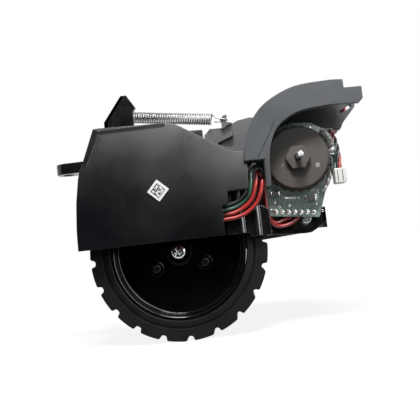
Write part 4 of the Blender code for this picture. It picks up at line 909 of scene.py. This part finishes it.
def fender_tail(place):
    """A lead behind the fender, up to its plug. The places count from below, and the odd ones lie deeper."""
    deeper = 0.5 * (place % 2)
    return [(15.5, -12.7 + 1.6 * deeper, 11.6 + 1.75 * place),
            (2.0, -12.5 + 1.6 * deeper, 21.4 + 1.75 * place),
            (-12.0, -11.9 + deeper, 30.4 + 1.8 * place), (-18.0, -11.2 + deeper, 35.2 + 1.9 * place),
            (-21.0, -10.6 + deeper, 38.0 + 1.85 * place), (-23.3, -9.7 + deeper, 39.9 + 1.8 * place)]


LEFT_LEADS = {
    "lead_red_1": (RED, "red_insulation", [
        (49.0, -1.7, 8.2), (45.2, -2.2, 6.0), (40.8, -3.2, 5.5), (37.7, -5.8, 7.4), (36.5, -7.8, 12.6),
        (36.4, -8.4, 18.6), (36.2, -10.0, 23.8), (35.8, -12.6, 24.0), (34.9, -13.7, 20.0),
        (32.4, -13.4, 15.0), (27.4, -13.0, 11.5), (21.5, -12.9, 10.4)]),
    "lead_red_2": (RED, "red_insulation", [
        (46.0, -1.7, 8.6), (43.0, -1.8, 7.8), (39.8, -2.6, 7.0), (36.9, -4.6, 9.0), (36.3, -6.0, 13.6),
        (36.3, -6.8, 19.6), (35.6, -8.6, 25.6), (34.2, -11.2, 27.4), (33.2, -13.5, 22.8), (31.0, -13.4, 17.0),
        (26.6, -13.0, 13.6), (21.5, -12.9, 12.2)]),
    "lead_green": (GREEN, "green_insulation", [
        (37.6, -5.2, 21.0), (36.4, -7.4, 27.6), (34.2, -10.2, 29.6), (31.8, -12.4, 27.6), (31.2, -13.3, 22.8),
        (29.6, -13.3, 18.2), (26.2, -13.0, 15.3), (21.5, -12.9, 14.0)]),
    "lead_black": (BLACK, "black_insulation", [
        (36.6, -5.2, 25.5), (35.2, -7.8, 31.0), (32.6, -10.4, 31.8), (30.4, -12.0, 28.6), (29.6, -12.8, 23.4),
        (28.4, -13.0, 19.4), (25.8, -13.0, 17.1), (21.5, -12.9, 15.8)])}
for place, (name, (look, slot, route)) in enumerate(LEFT_LEADS.items()):
    lead = tube("soft_" + name, route + fender_tail(place), LEAD_RADIUS, look, [name])
    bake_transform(lead)

STRAND_RADIUS, STRAND_REACH, STRAND_TWIST = 0.5, 0.82, 0.42
HARNESS_MIDDLE = smooth([(66.1, -7.9, 25.4), (66.3, -7.2, 30.4), (66.1, -6.2, 34.6), (65.7, -5.0, 38.0),
                         (65.6, -2.6, 40.4), (67.2, 2.0, 41.2), (70.0, 5.2, 43.4), (72.4, 5.6, 47.6),
                         (72.9, 5.2, 51.2), (71.2, 4.9, 53.4), (67.9, 4.8, 53.6)], 4)


def twisted(count):
    """The lines of leads twisted about the middle of the harness."""
    lines = [[] for _ in range(count)]
    across = Vector((1.0, 0.0, 0.0))
    last = len(HARNESS_MIDDLE) - 1
    for k, point in enumerate(HARNESS_MIDDLE):
        ahead = (HARNESS_MIDDLE[min(k + 1, last)] - HARNESS_MIDDLE[max(k - 1, 0)]).normalized()
        across = (across - ahead * across.dot(ahead)).normalized()
        for i, line in enumerate(lines):
            turn = math.tau * i / count + STRAND_TWIST * k
            aside = across * math.cos(turn) + ahead.cross(across) * math.sin(turn)
            line.append(point + STRAND_REACH * aside)
    return lines


HARNESS = [("harness_red_1", RED, "red_insulation"), ("harness_green", GREEN, "green_insulation"),
           ("harness_black", BLACK, "black_insulation"), ("harness_red_2", RED, "red_insulation")]
for (name, look, slot), line in zip(HARNESS, twisted(len(HARNESS))):
    lead = tube("soft_" + name, line, STRAND_RADIUS, look, [name], steps=2)
    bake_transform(lead)

# The glue
# Two runs of clear hot glue, one that holds the twisted leads and one along the lower edge of the board.

GLUE = finish("hot glue", (0.93, 0.94, 0.93), (0.97, 0.97, 0.96), 1.6, 0.6, 0.03, (0.97, 0.97, 0.97), 0.3,
              0.14, 0.08, coat=0.6)


def glue_run(name, points, radius):
    """A lumpy bead, thicker and thinner along its length."""
    bead = tube(name, points, radius, GLUE, sides=4)
    for vert in bead.data.vertices:
        swell = 0.35 * math.sin(2600.0 * vert.co.z) + 0.2 * math.sin(4100.0 * vert.co.x + 1.0)
        vert.co.y += radius * MM * swell
        vert.co.x += radius * MM * 0.5 * swell
    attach(bead, "arm_body")


glue_run("glue_on_leads", [(61.4, -5.6, 41.2), (62.9, -6.4, 39.2), (64.1, -7.0, 36.6), (64.6, -7.2, 33.6),
                           (64.0, -6.8, 31.2)], 1.3)
glue_run("glue_on_board", [(59.0, -4.8, 17.4), (61.0, -5.2, 19.6), (62.3, -5.2, 21.8), (63.0, -5.0, 24.0)],
         0.8)

# The studio
# A white floor and background, one soft box overhead, and round the camera black felt and a bright card that
# only reflections see, so that the gloss black stays black and shines on its right. The camera stands where
# the picture was taken from, turned a little about its own line of sight.

WHITE = (1.0, 1.0, 1.0, 1.0)


def background_rays(tree):
    """Is the ray one that shows the background: straight from the camera, mirrored or through glass?"""
    path = add(tree, "ShaderNodeLightPath").outputs
    seen = maths(tree, "MAXIMUM", path["Is Camera Ray"], path["Is Glossy Ray"])
    return maths(tree, "MAXIMUM", seen, path["Is Transmission Ray"])


def floor_material():
    """A matt floor that glows to the rays which show it, and most of all far away, where no shadow falls."""
    made, tree, shader = start_material("studio floor")
    at = add(tree, "ShaderNodeTexCoord").outputs["Object"]
    away = add(tree, "ShaderNodeVectorMath", {0: at}, operation="LENGTH").outputs["Value"]
    glow = maths(tree, "MULTIPLY", ramp(tree, away, 0.12, 0.3, 0.88), background_rays(tree))
    feed(tree, shader, {"Base Color": (0.12, 0.12, 0.12, 1.0), "Roughness": 0.9, "Specular IOR Level": 0.0,
                        "Emission Color": WHITE, "Emission Strength": glow})
    return made


def sheet(name, corners, look):
    """A flat sheet of the studio, which isn't part of the piece."""
    bm = bmesh.new()
    bm.faces.new([bm.verts.new(in_frame(corner)) for corner in corners])
    mesh = bpy.data.meshes.new(name)
    bm.to_mesh(mesh)
    bm.free()
    mesh.materials.append(look)
    made = new_object(name, mesh)
    return made


FLOOR = -TYRE_RADIUS - 0.05
sheet("studio_floor", [around((0.0, 0.0), 3000.0, 7.5 * i) + (FLOOR,) for i in range(48)], floor_material())

FELT = finish("black felt", (0.004, 0.004, 0.004), (0.006, 0.006, 0.006), 50.0, 2.0, 0.2, (0.01, 0.01, 0.01),
              0.1, 0.95, 0.05, specular=0.0)


def bright_card(level):
    """A card that shines as bright as level times white paper."""
    made, tree, shader = start_material("bright card")
    feed(tree, shader, {"Base Color": (0.0, 0.0, 0.0, 1.0), "Emission Color": WHITE,
                        "Emission Strength": level})
    return made


FELT_SIDE, FELT_AWAY, FELT_NEAR = 900.0, -430.0, -70.0
MIRRORED = {
    "felt_behind_camera": (FELT, [
        (-FELT_SIDE, FELT_AWAY, FLOOR), (FELT_SIDE, FELT_AWAY, FLOOR), (FELT_SIDE, FELT_AWAY, 60.0),
        (60.0, FELT_AWAY, 90.0), (-60.0, FELT_AWAY, 330.0), (-FELT_SIDE, FELT_AWAY, 420.0)]),
    "felt_on_floor": (FELT, [
        (-FELT_SIDE, FELT_AWAY, FLOOR + 1.0), (FELT_SIDE, FELT_AWAY, FLOOR + 1.0),
        (FELT_SIDE, FELT_NEAR, FLOOR + 1.0), (-FELT_SIDE, FELT_NEAR, FLOOR + 1.0)]),
    "card_on_the_right": (bright_card(13.0), [
        (60.0, -412.0, 165.0), (290.0, -345.0, 90.0), (340.0, -320.0, -30.0), (440.0, -270.0, -30.0),
        (440.0, -270.0, 520.0), (30.0, -420.0, 450.0)])}
for name, (look, corners) in MIRRORED.items():
    hidden = sheet(name, corners, look)
    for rays in ("camera", "diffuse", "shadow", "transmission"):
        setattr(hidden, "visible_" + rays, False)

AMBIENT_LEVEL = 0.1
world = bpy.data.worlds.new("studio")
bpy.context.scene.world = world
world.use_nodes = True
sky = world.node_tree
sky.nodes.clear()
ambient = add(sky, "ShaderNodeBackground", {"Color": WHITE, "Strength": AMBIENT_LEVEL}).outputs[0]
backdrop = add(sky, "ShaderNodeBackground", {"Color": WHITE, "Strength": 1.0}).outputs[0]
light = add(sky, "ShaderNodeMixShader", {0: background_rays(sky), 1: ambient, 2: backdrop}).outputs[0]
add(sky, "ShaderNodeOutputWorld", {"Surface": light})


def lamp(name, spot, target, width, height, level):
    """A soft box that faces the part, as bright as level times white paper."""
    light = bpy.data.lights.new(name, "AREA")
    light.shape = "RECTANGLE"
    light.size, light.size_y = width * MM, height * MM
    light.energy = level * math.pi * light.size * light.size_y
    made = new_object(name, light)
    made.location = in_frame(spot)
    facing = (Vector(target) - Vector(spot)).to_track_quat("-Z", "Y")
    made.rotation_euler = facing.to_euler()


lamp("soft box overhead", (40.0, -285.0, 520.0), (20.0, 0.0, 20.0), 220.0, 100.0, 85.0)

SIGHT_LENGTH = 583.33
PICTURE_MIDDLE = 210.0
VANISHING = (240.0, 235.0)
ROLL = math.radians(6.5)
CAMERA_SPOT = (24.78, -237.0, 3.76)
ahead = Vector(((VANISHING[0] - PICTURE_MIDDLE) / SIGHT_LENGTH,
                (PICTURE_MIDDLE - VANISHING[1]) / SIGHT_LENGTH, 1.0)).normalized()
level = Vector((math.cos(ROLL), math.sin(ROLL), 0.0))
level = (level - ahead * level.dot(ahead)).normalized()
down = level.cross(ahead)
right, upward, forward = (Vector((level[k], ahead[k], -down[k])) for k in range(3))
view = bpy.data.cameras.new("camera")
view.lens = 50.0
view.sensor_width = 36.0
view.clip_start, view.clip_end = 0.01, 20.0
camera = new_object("camera", view)
camera.matrix_world = Matrix.Translation(in_frame(CAMERA_SPOT)) @ Matrix(
    (right, upward, -forward)).transposed().to_4x4()
bpy.context.scene.camera = camera
bpy.context.scene.view_settings.view_transform = "Standard"
